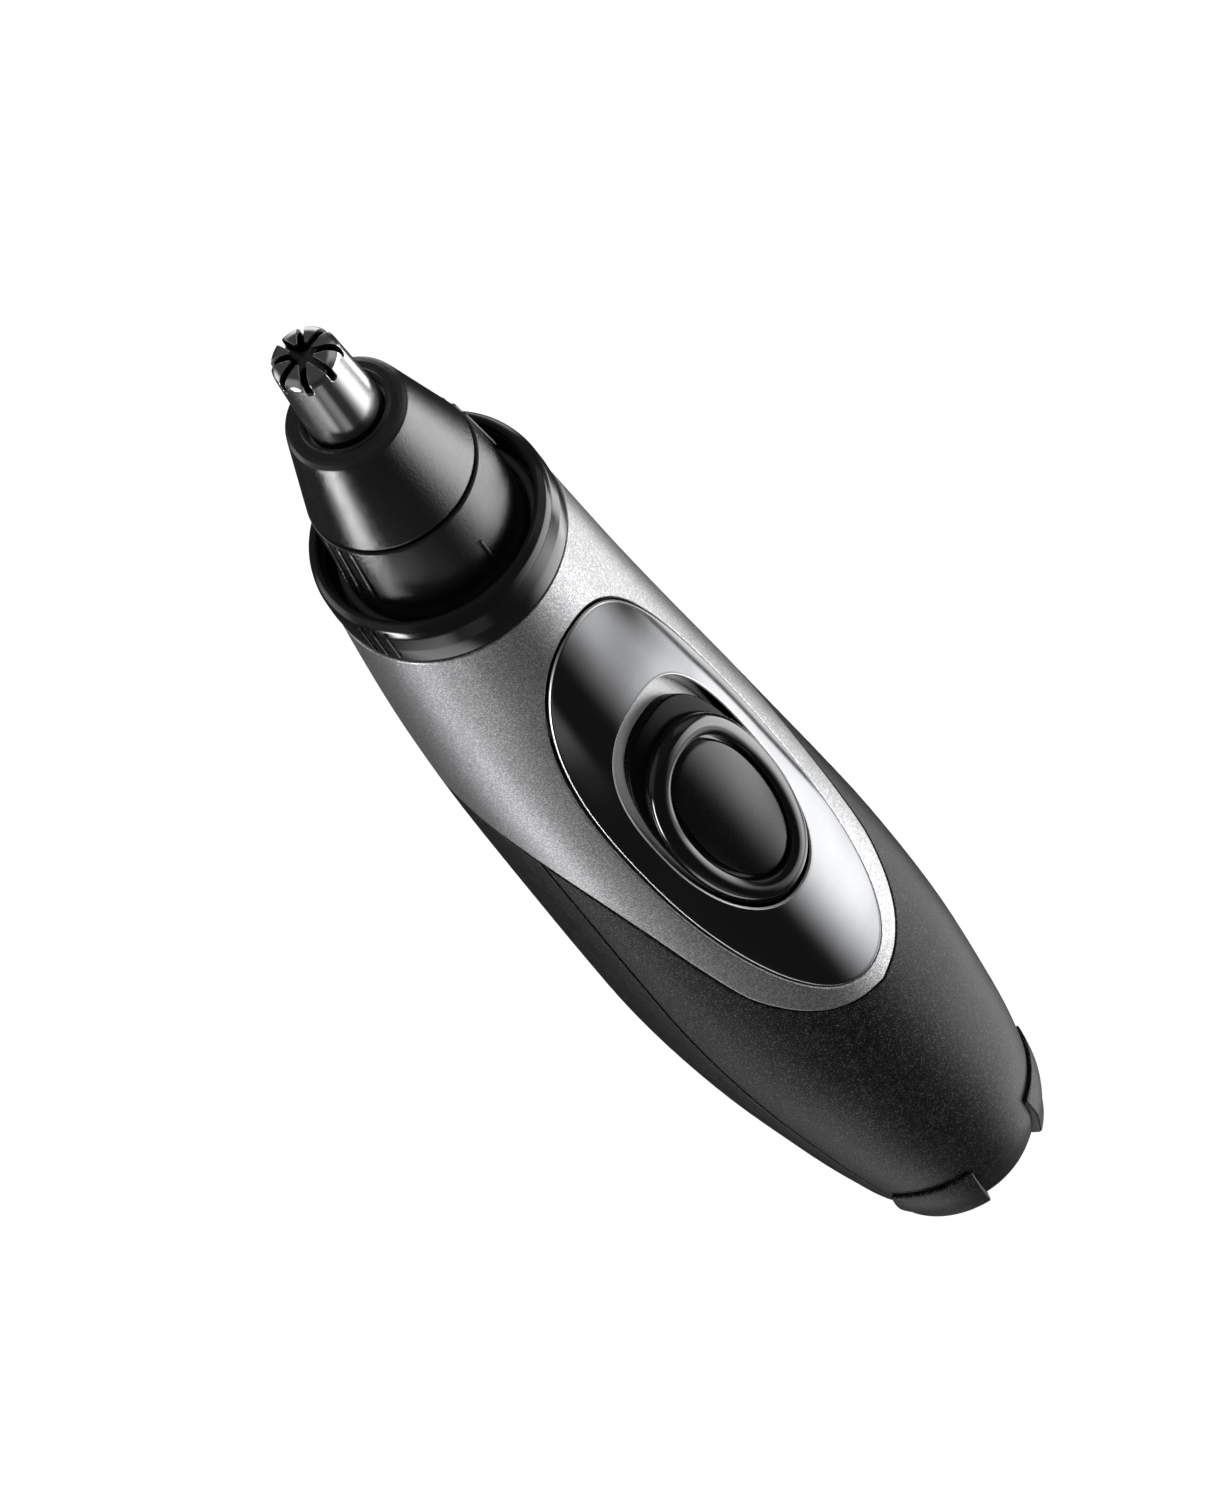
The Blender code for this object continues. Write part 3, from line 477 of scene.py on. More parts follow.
def moulded(name, color, rough, grain=2600.0, depth=0.00002, strength=0.25, var=0.06, spec=0.5, coat=0.0):
    """Moulded plastic with a fine even grain."""
    m, nt, b = nodes_of(name)
    tc = coords(nt)
    g = noise(nt, tc, grain, 4.0, 0.6)
    w = noise(nt, tc, 160.0, 2.0, 0.5)
    col = mix_color(nt, w.outputs["Fac"], tuple(c * 0.9 for c in color), tuple(min(1, c * 1.12) for c in color))
    nt.links.new(col, b.inputs["Base Color"])
    nt.links.new(ramp(nt, g.outputs["Fac"], 0.3, 0.7, rough - var, rough + var), b.inputs["Roughness"])
    b.inputs["Specular IOR Level"].default_value = spec
    b.inputs["Coat Weight"].default_value = coat
    b.inputs["Coat Roughness"].default_value = 0.05
    bump(nt, b, g.outputs["Fac"], strength, depth)
    return m

def metal(name, color, rough, streak=None, strength=0.12, depth=0.00001, var=0.05, grain=3000.0):
    """Bare or plated metal with fine working marks."""
    m, nt, b = nodes_of(name)
    tc = coords(nt)
    if streak:
        mp = nt.nodes.new("ShaderNodeMapping")
        mp.inputs["Scale"].default_value = streak
        nt.links.new(tc.outputs["Object"], mp.inputs["Vector"])
        g = nt.nodes.new("ShaderNodeTexNoise")
        g.inputs["Scale"].default_value = 1.0
        g.inputs["Detail"].default_value = 4.0
        nt.links.new(mp.outputs["Vector"], g.inputs["Vector"])
    else:
        g = noise(nt, tc, grain, 3.0, 0.6)
    w = noise(nt, tc, 220.0, 2.0, 0.5)
    col = mix_color(nt, w.outputs["Fac"], tuple(c * 0.93 for c in color), tuple(min(1, c * 1.06) for c in color))
    nt.links.new(col, b.inputs["Base Color"])
    nt.links.new(ramp(nt, g.outputs["Fac"], 0.3, 0.7, max(0.01, rough - var), rough + var), b.inputs["Roughness"])
    b.inputs["Metallic"].default_value = 1.0
    bump(nt, b, g.outputs["Fac"], strength, depth)
    return m

SILVER = metallic_paint("silver_metallic", (0.26, 0.26, 0.267), (0.74, 0.74, 0.75), 0.90, 0.35, 11000.0, 0.35, rb=0.05)
CHARCOAL = metallic_paint("charcoal_metallic", (0.0018, 0.0019, 0.0022), (0.12, 0.122, 0.125), 0.18, 0.40, 12000.0, 0.4, rb=0.05, power=11.0, spec=0.16)
MIRROR = metal("smoked_mirror_finish", (0.19, 0.192, 0.197), 0.11, strength=0.01, var=0.01, grain=1500.0)
FLOORSILVER = metallic_paint("recess_silver", (0.74, 0.74, 0.75), (0.92, 0.92, 0.93), 0.30, 0.50, 11000.0, 0.3)
GLOSS = moulded("gloss_black_plastic", (0.0025, 0.0025, 0.003), 0.12, 900.0, 0.00001, 0.02, 0.01, 0.75)
COLLARM = moulded("collar_black_plastic", (0.004, 0.004, 0.0045), 0.17, 1400.0, 0.00001, 0.05, 0.02, 0.45)
FOOTM = moulded("dull_black_plastic", (0.002, 0.002, 0.0023), 0.28, 2600.0, 0.00002, 0.2, 0.04, 0.05)
SATIN = moulded("satin_black_plastic", (0.005, 0.005, 0.0055), 0.155, 5200.0, 0.00005, 0.8, 0.04, 1.0)
DOMEM = moulded("dome_black_plastic", (0.003, 0.003, 0.0034), 0.26, 3600.0, 0.00001, 0.12, 0.03, 0.32)
STEEL = metal("polished_stainless", (0.60, 0.60, 0.605), 0.19, strength=0.14, var=0.05, grain=5200.0)
# rougher steel for the guard's inward faces, undersides and slot walls: its dark colour is painted shade in the hollows
DULL_STEEL_PAINTED_SHADE = metal("dull_steel_painted_shade", (0.10, 0.10, 0.105), 0.45, strength=0.2, var=0.06, grain=2400.0)
# lighter, rougher metal for the panel's edge roundings: its light colour is a painted highlight along the rims
EDGE_HIGHLIGHT_PAINT = metal("painted_edge_highlight", (0.74, 0.74, 0.75), 0.42, strength=0.02, var=0.02, grain=2500.0)
BLADEM = metal("ground_blade_steel", (0.16, 0.16, 0.165), 0.34, streak=(300, 300, 9000), strength=0.2)
SPRINGM = metal("spring_wire_steel", (0.52, 0.52, 0.53), 0.22)
BRASS = metal("nickel_plated_contact", (0.62, 0.55, 0.40), 0.28)
CANM = metal("motor_can_steel", (0.42, 0.42, 0.43), 0.34)
COPPER = metal("winding_copper", (0.60, 0.30, 0.16), 0.35, streak=(400, 400, 12000), strength=0.5, depth=0.00005)
FRAMEM = moulded("frame_white_plastic", (0.52, 0.52, 0.50), 0.48, 2200.0, 0.00002, 0.25)
CHAMBERM = moulded("chamber_grey_plastic", (0.06, 0.06, 0.065), 0.34, 2600.0, 0.00002, 0.2)
SEALM = moulded("seal_black_rubber", (0.016, 0.016, 0.016), 0.72, 3200.0, 0.00003, 0.5, spec=0.35)

# ================================================================ body shells
def edge_curve(n):
    dense = [(180.0 * k / 1800, spline(SHIELD_EDGE, 180.0 * k / 1800)) for k in range(1801)]
    run = [0.0]
    for k in range(1800):
        run.append(run[-1] + (skin(*dense[k]) - skin(*dense[k + 1])).length)
    out, j = [], 0
    for i in range(n + 1):
        want = run[-1] * i / n
        while j < 1799 and run[j + 1] < want:
            j += 1
        f = (want - run[j]) / (run[j + 1] - run[j])
        out.append((dense[j][0] + f * 180.0 / 1800, dense[j][1] + f * (dense[j + 1][1] - dense[j][1])))
    return out

half = edge_curve(120)
CUT = min(range(len(half)), key=lambda i: abs(half[i][0] - 120.0))     # the flat plan is cut here
whole = ([(a - 360.0, z) for a, z in half[CUT:-1]] + [(-a, z) for a, z in reversed(half[1:])] + half[:CUT + 1])
SKIN_METRIC = lambda z: math.radians(1.0) * body_r(z)
SKIN_SCALE = math.radians(1.0) * 15.0

SEAM = 0.09      # half of the visible joint line
bottom = offset_loop(whole, SEAM, SKIN_METRIC, True)
top = []
for k in range(241):
    az = whole[0][0] + 360.0 * k / 240
    top.append((az, seam_z(az, GAP / 2 + 0.02)))
opening = [(math.degrees(math.asin(x / body_r(z))), z) for x, z in oval_points(PANEL, 240, 0.01)][::-1]
outlets = []
for xc in (-5.2, -2.6, 0.0, 2.6, 5.2):
    w, z0, z1 = 0.55, 98.5, 106.5
    loop = [(xc + w * math.cos(q), z1 - w + w * math.sin(q)) for q in [math.pi * k / 8 for k in range(9)]]
    loop += [(xc + w * math.cos(q), z0 + w + w * math.sin(q)) for q in [math.pi + math.pi * k / 8 for k in range(9)]]
    dense = []
    for p, q in zip(loop, loop[1:] + loop[:1]):
        m = max(1, int(math.dist(p, q) / 0.6))
        dense += [(p[0] + (q[0] - p[0]) * i / m, p[1] + (q[1] - p[1]) * i / m) for i in range(m)]
    # seen from behind x runs the other way, which also turns the line round
    outlets.append([(-180.0 - math.degrees(math.asin(x / body_r(z))), z) for x, z in dense])
shield = piece("shield", plate(skin, SKIN_METRIC, SKIN_SCALE, lambda z: WALL, 1.1, 0.21, ring=(bottom, top),
                               holes=[opening] + outlets), SILVER, "root", ["shield_shell"])

g = math.degrees(SEAM / 14.0)
low = offset_loop(whole, -SEAM, SKIN_METRIC, True)
def low_at(az):
    """Height of the covers' upper edge at an azimuth."""
    a = az if az <= low[-1][0] else az - 360.0
    for p, q in zip(low, low[1:]):
        if p[0] <= a <= q[0]:
            return p[1] + (q[1] - p[1]) * (a - p[0]) / (q[0] - p[0])
    return low[0][1]
def cover(a0, a1):
    """Outline of a cover between two azimuths, the plate on its left."""
    nb = 70
    loop = [(a0 + (a1 - a0) * i / nb, BODY_BOTTOM + 0.01) for i in range(nb)]
    h1, h0 = low_at(a1), low_at(a0)
    ns = 90
    loop += [(a1, BODY_BOTTOM + (h1 - BODY_BOTTOM) * i / ns) for i in range(ns)]
    mid = [(a, z) for a, z in low if a0 + 0.3 < a < a1 - 0.3] + [(a + 360.0, z) for a, z in low[1:] if a0 + 0.3 < a + 360.0 < a1 - 0.3]
    mid.sort()
    loop += [(a1, h1)] + mid[::-1]
    loop += [(a0, h0 + (BODY_BOTTOM - h0) * i / ns) for i in range(ns)]
    return loop
front_c = piece("cover_front", plate(skin, SKIN_METRIC, SKIN_SCALE, wall, 1.3, 0.15, outer=cover(-PARTING_AZ + g, PARTING_AZ - g)),
                CHARCOAL, "root", ["front_cover"])
rear_c = piece("cover_rear", plate(skin, SKIN_METRIC, SKIN_SCALE, wall, 1.3, 0.15, outer=cover(PARTING_AZ + g, 360.0 - PARTING_AZ - g)),
               CHARCOAL, "root", ["rear_cover"])

# ================================================================ oval panel and switch
NO = 224
def ring_rows(spec, steps):
    return [[front(x, z, off) for x, z in oval_points(spec, NO, grow)] for grow, off in steps]

def arc(x0, y0, x1, y1, n, concave=False):
    """Quarter round from (x0, y0) to (x1, y1): starts upright and ends level."""
    out = []
    for k in range(n + 1):
        q = math.pi / 2 * k / n
        out.append((x0 + (x1 - x0) * (1 - math.cos(q)), y0 + (y1 - y0) * math.sin(q)))
    return out

po, pi = oval_points(PANEL, NO, -GAP), oval_points(RECESS, NO, 0.0)
rows = []
def panel_row(t, grow, off):
    a, b = oval_points(PANEL, NO, -GAP + grow), oval_points(RECESS, NO, -grow if t > 0.5 else 0.0)
    return [front(p[0] * (1 - t) + q[0] * t, p[1] * (1 - t) + q[1] * t, off) for p, q in zip(a, b)]
e = 0.26
rows.append(panel_row(0.0, 0.0, -1.15))
rows += [panel_row(0.0, -d, o) for d, o in arc(0.0, 0.30 - e - 0.02, e, 0.285, 7)]
for k in range(1, 40):
    t = k / 40
    rows.append([])
    a, b = oval_points(PANEL, NO, -GAP - e), oval_points(RECESS, NO, e)
    rows[-1] = [front(p[0] * (1 - t) + q[0] * t, p[1] * (1 - t) + q[1] * t, 0.285 + 0.06 * 4 * t * (1 - t) * 0.25) for p, q in zip(a, b)]
rows += [[front(x, z, o) for x, z in oval_points(RECESS, NO, d)] for d, o in reversed(arc(0.0, 0.30 - e - 0.02, e, 0.285, 7))]
rows.append([front(x, z, -1.15) for x, z in oval_points(RECESS, NO)])
panel_bm = lofted(rows, closed_rows=True)
panel_bm.faces.ensure_lookup_table()
n_rows = len(rows)
# the roundings at both rims get the second material, light metal: a painted highlight along the panel's edges
for i, f in enumerate(panel_bm.faces):
    r = i // NO
    if 1 <= r <= 5 or n_rows - 8 <= r <= n_rows - 4:
        f.material_index = 1
panel = piece("mirror_panel", panel_bm, MIRROR, "root", ["oval_panel"])
panel.data.materials.append(EDGE_HIGHLIGHT_PAINT)

SLOT = dict(a=1.7, b=7.0, z=76.6, p=3.0)
fo, fi = oval_points(RECESS, NO, 1.0), oval_points(SLOT, NO)
def floor_row(t, off):
    return [front(p[0] * (1 - t) + q[0] * t, p[1] * (1 - t) + q[1] * t, off) for p, q in zip(fo, fi)]
rows = [floor_row(t / 12, -1.55) for t in range(13)] + [floor_row(1 - t / 12, -2.35) for t in range(13)]
floor_plate = piece("recess_floor", lofted(rows, closed_rows=True), FLOORSILVER, "root", ["switch_plate"])

def loop(spec, off, grow=0.0, size=1.0):
    sp = dict(spec, a=spec["a"] * size, b=spec["b"] * size)
    return [front(x, z, off) for x, z in oval_points(sp, NO, grow)]
rows = [loop(SLIDER, -1.25, 0.0, f) for f in (0.2, 0.5, 0.8)] + [loop(SLIDER, -1.25, -0.15)]
rows += [loop(SLIDER, o, -d) for d, o in arc(0.0, -1.10, 0.0, -0.15, 2)]
rows += [loop(SLIDER, o, -d) for d, o in arc(0.0, -0.15, 0.20, 0.05, 7)[1:]]
N_FOOT = len(rows)
HOLE = dict(DOME, a=DOME["a"] + 0.35, b=DOME["b"] + 0.35)
def smooth_profile(pts, n=4):
    out = []
    for i in range(len(pts) - 1):
        p0, p1, p2, p3 = pts[max(0, i - 1)], pts[i], pts[i + 1], pts[min(len(pts) - 1, i + 2)]
        for k in range(n):
            t = k / n
            out.append(tuple(0.5 * (2 * b + (c - a) * t + (2 * a - 5 * b + 4 * c - d) * t * t + (3 * b - a - 3 * c + d) * t ** 3)
                             for a, b, c, d in zip(p0, p1, p2, p3)))
    return out + [pts[-1]]
def band(t, off):
    """A line between the ring's outline (t = 0) and its opening (t = 1)."""
    return [front(p[0] * (1 - t) + q[0] * t, p[1] * (1 - t) + q[1] * t, off)
            for p, q in zip(oval_points(RING, NO), oval_points(HOLE, NO))]
crown = [(0.0, 0.10), (0.0, 0.22), (0.015, 0.50), (0.04, 0.80), (0.09, 1.10), (0.15, 1.30), (0.24, 1.46), (0.34, 1.54), (0.48, 1.585),
         (0.62, 1.58), (0.75, 1.52), (0.86, 1.41), (0.93, 1.31)]
rows += [band(t, o) for t, o in smooth_profile(crown, 4)]
rows += [band(t, o) for t, o in ((0.955, 1.27), (0.975, 1.21), (0.99, 1.13), (1.0, 1.02), (1.0, 0.65), (1.0, 0.30))]
rows += [loop(HOLE, 0.30, 0.0, f) for f in (0.7, 0.4, 0.15)]
slider_bm = lofted(rows, front(0, SLIDER["z"], -1.25), front(0, RING["z"], 0.30))
for i, f in enumerate(slider_bm.faces):
    if i // NO < N_FOOT and i < (len(rows) - 1) * NO:
        f.material_index = 1
slider = piece("switch_slide", slider_bm, GLOSS, "switch", ["switch_slider"])
slider.data.materials.append(FOOTM)
rows = [loop(DOME, 0.42, 0.0, f) for f in (0.2, 0.5, 0.8)] + [loop(DOME, 0.44, -0.03)]
inner = oval_points(DOME, NO)
rows += [loop(DOME, 0.50), loop(DOME, 0.70)]
for k in range(1, 26):
    # from the rim to the crown: steep at the rim, then a shallow vault
    f = 1.0 - k / 26
    u = 1.0 - f
    off = 0.70 + 0.28 * min(1.0, math.sqrt(max(0.0, 1 - (1 - min(1.0, u / 0.07)) ** 2))) + 0.70 * (1 - f * f)
    rows.append([front(x * f, DOME["z"] + (z - DOME["z"]) * f, off) for x, z in inner])
dome = piece("switch_cap", lofted(rows, front(0, DOME["z"], 0.42), front(0, DOME["z"], 1.68)), DOMEM, "switch",
             ["switch_dome"])

# ================================================================ head (leaning frame)
NS = 192
collar_prof = fillet([(8.3, .15), (12.62, .15), (12.72, 2.4), (12.66, 4.6), (12.45, 5.5), (11.98, 6.10), (11.62, 6.20),
                      (11.36, 5.95), (11.20, 5.2), (11.20, .85), (8.3, .85)],
                     {0: .1, 1: .16, 2: 4.0, 3: 3.0, 4: 1.2, 5: .8, 6: .35, 7: .35, 8: 1.0, 9: .2, 10: .1}, 6)
def rounded_bar(az, half_w, h0, h1, r0, r1, p0, p1, rnd):
    """A raised bar down a turned face, with round ends and a rounded back."""
    a = math.radians(az)
    e1 = Vector((math.sin(a), -math.cos(a), 0))
    s1 = Vector((math.cos(a), math.sin(a), 0))
    rows = []
    n = 22
    for i in range(n + 1):
        f = i / n
        h = h0 + (h1 - h0) * f
        r = r0 + (r1 - r0) * f
        pr = p0 + (p1 - p0) * f
        end = min(h - h0, h1 - h)
        q = min(1.0, end / rnd)
        k = math.sqrt(max(0.0, 1 - (1 - q) ** 2)) if q < 1 else 1.0
        w, pr = max(0.03, half_w * (0.35 + 0.65 * k)), max(0.0, pr * k)
        sec = [e1 * (r - 0.3) - s1 * w]
        for m in range(9):
            t = math.pi * m / 8
            sec.append(e1 * (r - 0.02 + (pr + 0.02) * math.sin(t) ** 0.6) - s1 * w * math.copysign(abs(math.cos(t)) ** 0.6, math.cos(t)))
        sec.append(e1 * (r - 0.3) + s1 * w)
        rows.append([p + Vector((0, 0, h)) for p in sec])
    return lofted(rows, sum(rows[0], Vector()) / len(rows[0]), sum(rows[-1], Vector()) / len(rows[-1]))
marks = [rounded_bar(-a + HEAD_TURN, 0.26, 0.9, 5.3, 12.68, 12.60, 0.24, 0.24, 0.35) for a in (70.0, 76.5, 83.0)]
collar = piece("collar", join(lathe(collar_prof, NS, True), *marks), COLLARM, "root", ["collar_ring"], HEAD)
seal = piece("seal_head", lathe([(10.2 + 0.45 * math.cos(math.pi * k / 10), 2.6 + 0.45 * math.sin(math.pi * k / 10))
                                 for k in range(20)], 96, True), SEALM, "head_ring", ["head_seal"], HEAD)

skirt_prof = fillet([(8.05, 1.15), (9.45, 1.15), (9.45, 5.3), (9.68, 5.9), (9.70, 6.4), (9.10, 15.05), (8.05, 15.05)],
                    {0: .2, 1: .25, 2: .4, 3: .4, 4: .6, 5: .22, 6: .2}, 6)
bars = [rounded_bar(s * a + HEAD_TURN, 0.30, 7.3, 14.9, 9.64, 9.11, 0.42, 0.21, 0.5) for s in (-1, 1) for a in (77.0, 87.0, 97.0)]
bars.append(rounded_bar(HEAD_TURN, 0.24, 6.7, 9.8, 9.67, 9.46, 0.30, 0.28, 0.3))
skirt = piece("head_band", join(lathe(skirt_prof, NS, True), *bars), SATIN, "head", ["head_skirt"], HEAD)

cone_prof = fillet([(7.55, 15.45), (8.84, 15.45), (8.90, 15.8), (6.52, 26.1), (6.36, 26.7), (6.02, 27.08), (5.55, 27.25),
                    (4.80, 27.30), (4.70, 27.55), (4.40, 27.55), (4.40, 26.55), (5.35, 26.55), (5.35, 25.3), (7.55, 16.3)],
                   {1: .2, 2: .25, 3: .8, 4: .22, 5: .25, 6: .6, 7: .08, 8: .10, 9: .05, 12: .5, 13: .5}, 6)
cone = piece("head_taper", lathe(cone_prof, NS, True), SATIN, "head", ["head_cone"], HEAD)

# stainless guard: a sheet over the turned surface, with eight slots open to the hole in the crown
t = 0.34
GP = [(BLADE_R0, BLADE_H0 + 0.5), (BLADE_R1 + 0.06, 36.6), (BLADE_R1 + 0.045, 37.0), (BLADE_R1 + 0.0, 37.32), (BLADE_R1 - 0.10, 37.60),
      (BLADE_R1 - 0.27, 37.85), (BLADE_R1 - 0.50, 38.05), (BLADE_R1 - 0.80, 38.20), (BLADE_R1 - 1.05, 38.27), (BLADE_R1 - 1.3, BLADE_H1),
      (1.75, BLADE_H1), (1.25, BLADE_H1)]
line = [GP[0]] + smooth_profile(GP[1:], 6)
run = [0.0]
for p, q in zip(line, line[1:]):
    run.append(run[-1] + math.dist(p, q))
LEN = run[-1]
run_a, r_a, h_a = np.array(run), np.array([p[0] for p in line]), np.array([p[1] for p in line])
def on_guard(s):
    return float(np.interp(s, run_a, r_a)), float(np.interp(s, run_a, h_a))
def guard_s(h):
    """Run along the profile at a height on the flank."""
    return float(np.interp(h, h_a[:-14], run_a[:-14]))
def guard_skin(az, s, off):
    r, h = on_guard(s)
    r2, h2 = on_guard(min(LEN, s + 0.03))
    r1, h1 = on_guard(max(0.0, s - 0.03))
    l = math.hypot(r2 - r1, h2 - h1)
    nr, nh = (h2 - h1) / l, -(r2 - r1) / l
    r, h = r + nr * off, h + nh * off
    a = math.radians(az)
    return Vector((r * math.sin(a), -r * math.cos(a), h))
GUARD_METRIC = lambda s: math.radians(1.0) * on_guard(s)[0]
S_BOT = guard_s(BLADE_H1 - SLOT_DEPTH + SLOT_W / 2)
upper = []
w = SLOT_W / 2
def tooth_top(az):
    """One slot, then one tooth tip, starting from the middle of the tooth before it."""
    pts = []
    n = 34
    levels = [LEN - (LEN - S_BOT) * (k / n) for k in range(n + 1)]
    for s in levels:
        pts.append((az - math.degrees(math.asin(min(0.95, w / on_guard(s)[0]))), s))
    r = on_guard(S_BOT)[0]
    for k in range(1, 12):
        q = math.pi * k / 12
        pts.append((az - math.degrees(math.asin(w * math.cos(q) / r)), S_BOT - w * math.sin(q)))
    for s in reversed(levels):
        pts.append((az + math.degrees(math.asin(min(0.95, w / on_guard(s)[0]))), s))
    return pts
for i in range(8):
    az = HEAD_TURN + 45.0 * i
    end = math.degrees(math.asin(w / on_guard(LEN)[0]))
    gap = 45.0 - 2 * end
    tip = [(az - 22.5 + gap / 2 * k / 3, LEN) for k in range(0, 3)]
    upper += tip + tooth_top(az) + [(az + end + gap / 2 * k / 3, LEN) for k in range(1, 3)]
upper.append((upper[0][0] + 360.0, upper[0][1]))
lower = [(upper[0][0] + 360.0 * k / 128, 0.0) for k in range(129)]
guard_sheet = plate(guard_skin, GUARD_METRIC, math.radians(1.0) * 3.4, lambda s: t, 0.22, 0.07, ring=(lower, upper), guard=0.03)
flange = lathe(fillet([(BLADE_R0 - t, BLADE_H0), (5.05, BLADE_H0), (5.05, BLADE_H0 + 0.5), (BLADE_R0 + 0.02, BLADE_H0 + 0.5),
                       (BLADE_R0 + 0.02, BLADE_H0 + 0.62), (BLADE_R0 - t, BLADE_H0 + 0.62)], {1: .1, 2: .1}, 4), NS, True)
guard_p = piece("guard", join(guard_sheet, flange), STEEL, "head", ["outer_blade"], HEAD)
guard_p.data.materials.append(DULL_STEEL_PAINTED_SHADE)
to_head = (HEAD.inverted() @ Matrix.Scale(1 / MM, 4))
# faces that look inward, face down or line the slots get the darker steel: painted shade in the guard's hollows and
# slots
for p in guard_p.data.polygons:
    c = to_head @ p.center
    n = HEAD.to_3x3().inverted() @ p.normal
    r = math.hypot(c.x, c.y)
    away = (n.x * c.x + n.y * c.y) / max(r, 1e-6)
    if c.z > BLADE_H0 + 0.7 and (n.z < -0.5 or away < -0.3 or (abs(away) < 0.35 and n.z < 0.6)):
        p.material_index = 1

# ================================================================ rotor
def cross(arm, w, hub, n=4):
    pts = []
    for i in range(n):
        a = 2 * math.pi * i / n
        e1 = Vector((math.cos(a), math.sin(a), 0))
        s1 = Vector((-math.sin(a), math.cos(a), 0))
        pts += [e1 * hub - s1 * w, e1 * arm - s1 * w, e1 * arm + s1 * w, e1 * hub + s1 * w]
    return pts
vane = prism([p + Vector((0, 0, 32.2)) for p in cross(2.66, 0.38, 0.9)], Vector((0, 0, 5.05)))
bmesh.ops.bevel(vane, geom=list(vane.edges), offset=0.07, segments=3, affect='EDGES', profile=0.5)
cutter = piece("cutter", vane, BLADEM, "rotor", ["inner_blade"], HEAD)
shaft = piece("shaft", lathe(fillet([(0, -9.0), (1.0, -9.0), (1.0, 24.8), (2.5, 24.8), (2.5, 25.4), (1.0, 25.4), (1.0, 31.9), (0, 31.9)],
                                    {1: .2, 3: .12, 4: .12, 6: .15}, 4), 64), BLADEM, "rotor", ["drive_shaft"], HEAD)
spring_b = piece("spring_cutter", coil(1.75, 0.22, 25.7, 31.9, 4, 32, 12), SPRINGM, "rotor", ["blade_spring"], HEAD)
chamber = piece("chamber", lathe(fillet([(4.6, -7.2), (7.7, -7.2), (7.7, 12.6), (7.0, 12.6), (7.0, -6.5), (4.6, -6.5)],
                                        {0: .1, 1: .3, 2: .2, 3: .2, 4: .3, 5: .1}, 4), 128, True), CHAMBERM, "root",
                ["hair_chamber"], HEAD)

# ================================================================ battery side
CELL_Z = 8.3
TO_BASE = Matrix.Translation(Vector((0, BY, 0)))
cell_prof = fillet([(0, 8.3), (3.0, 8.3), (3.2, 8.5), (6.6, 8.5), (7.25, 8.9), (7.25, 57.1), (6.75, 57.4), (2.75, 57.4),
                    (2.75, 58.8), (0, 58.8)], {1: .1, 2: .1, 3: .3, 4: .35, 5: .3, 6: .25, 7: .2, 8: .35}, 5)
CELLW, CELLN, CELLB = nodes_of("cell_sleeve")
tc = coords(CELLN)
sep = CELLN.nodes.new("ShaderNodeSeparateXYZ")
CELLN.links.new(tc.outputs["Object"], sep.inputs["Vector"])
def step_at(z, width=0.00006):
    return ramp(CELLN, sep.outputs["Z"], z - width, z + width, 0.0, 1.0)
def mult(a, b, op='MULTIPLY'):
    m = CELLN.nodes.new("ShaderNodeMath")
    m.operation = op
    CELLN.links.new(a, m.inputs[0])
    if isinstance(b, float):
        m.inputs[1].default_value = b
    else:
        CELLN.links.new(b, m.inputs[1])
    return m.outputs[0]
up1, up2, up3 = step_at(0.0090), step_at(0.0430), step_at(0.0571)
fine = noise(CELLN, tc, 1800.0, 3.0, 0.6)
body_col = mix_color(CELLN, fine.outputs["Fac"], (0.030, 0.034, 0.040), (0.042, 0.047, 0.055))
def mix2(fac, a, b):
    x = CELLN.nodes.new("ShaderNodeMix")
    x.data_type = 'RGBA'
    CELLN.links.new(fac, x.inputs["Factor"])
    for key, val in (("A", a), ("B", b)):
        if isinstance(val, tuple):
            x.inputs[key].default_value = (*val, 1)
        else:
            CELLN.links.new(val, x.inputs[key])
    return x.outputs["Result"]
c1 = mix2(up1, (0.60, 0.60, 0.60), body_col)
c2 = mix2(up2, c1, (0.55, 0.32, 0.10))
c3 = mix2(up3, c2, (0.62, 0.62, 0.62))
CELLN.links.new(c3, CELLB.inputs["Base Color"])
ends = mult(mult(up1, mult(up3, -1.0), 'ADD'), -1.0, 'MULTIPLY')
CELLN.links.new(ramp(CELLN, mult(up1, up3, 'SUBTRACT'), 0.0, 1.0, 1.0, 0.25), CELLB.inputs["Metallic"])
CELLN.links.new(ramp(CELLN, fine.outputs["Fac"], 0.3, 0.7, 0.24, 0.32), CELLB.inputs["Roughness"])
bump(CELLN, CELLB, fine.outputs["Fac"], 0.08, 0.00002)
cell = piece("cell", lathe(cell_prof, 128, cy=BY), CELLW, "cell", ["aa_cell"])
spring_c = piece("spring_cell", coil(3.4, 0.35, 4.75, 8.0, 2.5, 40, 12, cy=BY), SPRINGM, "cap_spring", ["cell_spring"])
seal_c = piece("seal_cap", lathe([(7.12 + 0.4 * math.cos(math.pi * k / 10), 2.3 + 0.4 * math.sin(math.pi * k / 10))
                                  for k in range(20)], 96, True, cy=BY), SEALM, "cap", ["cap_seal"])
cap_prof = fillet([(0, 0), (8.2, 0), (8.5, .25), (8.5, .6), (6.95, .6), (6.95, 1.7), (6.4, 1.7), (6.4, 2.9), (6.95, 2.9), (6.95, 4.4), (0, 4.4)],
                  {1: .1, 2: .2, 3: .12, 4: .1, 5: .1, 6: .1, 7: .1, 8: .1, 9: .25}, 4)
LUG_GAP = 0.08      # the wing all but touches the cover
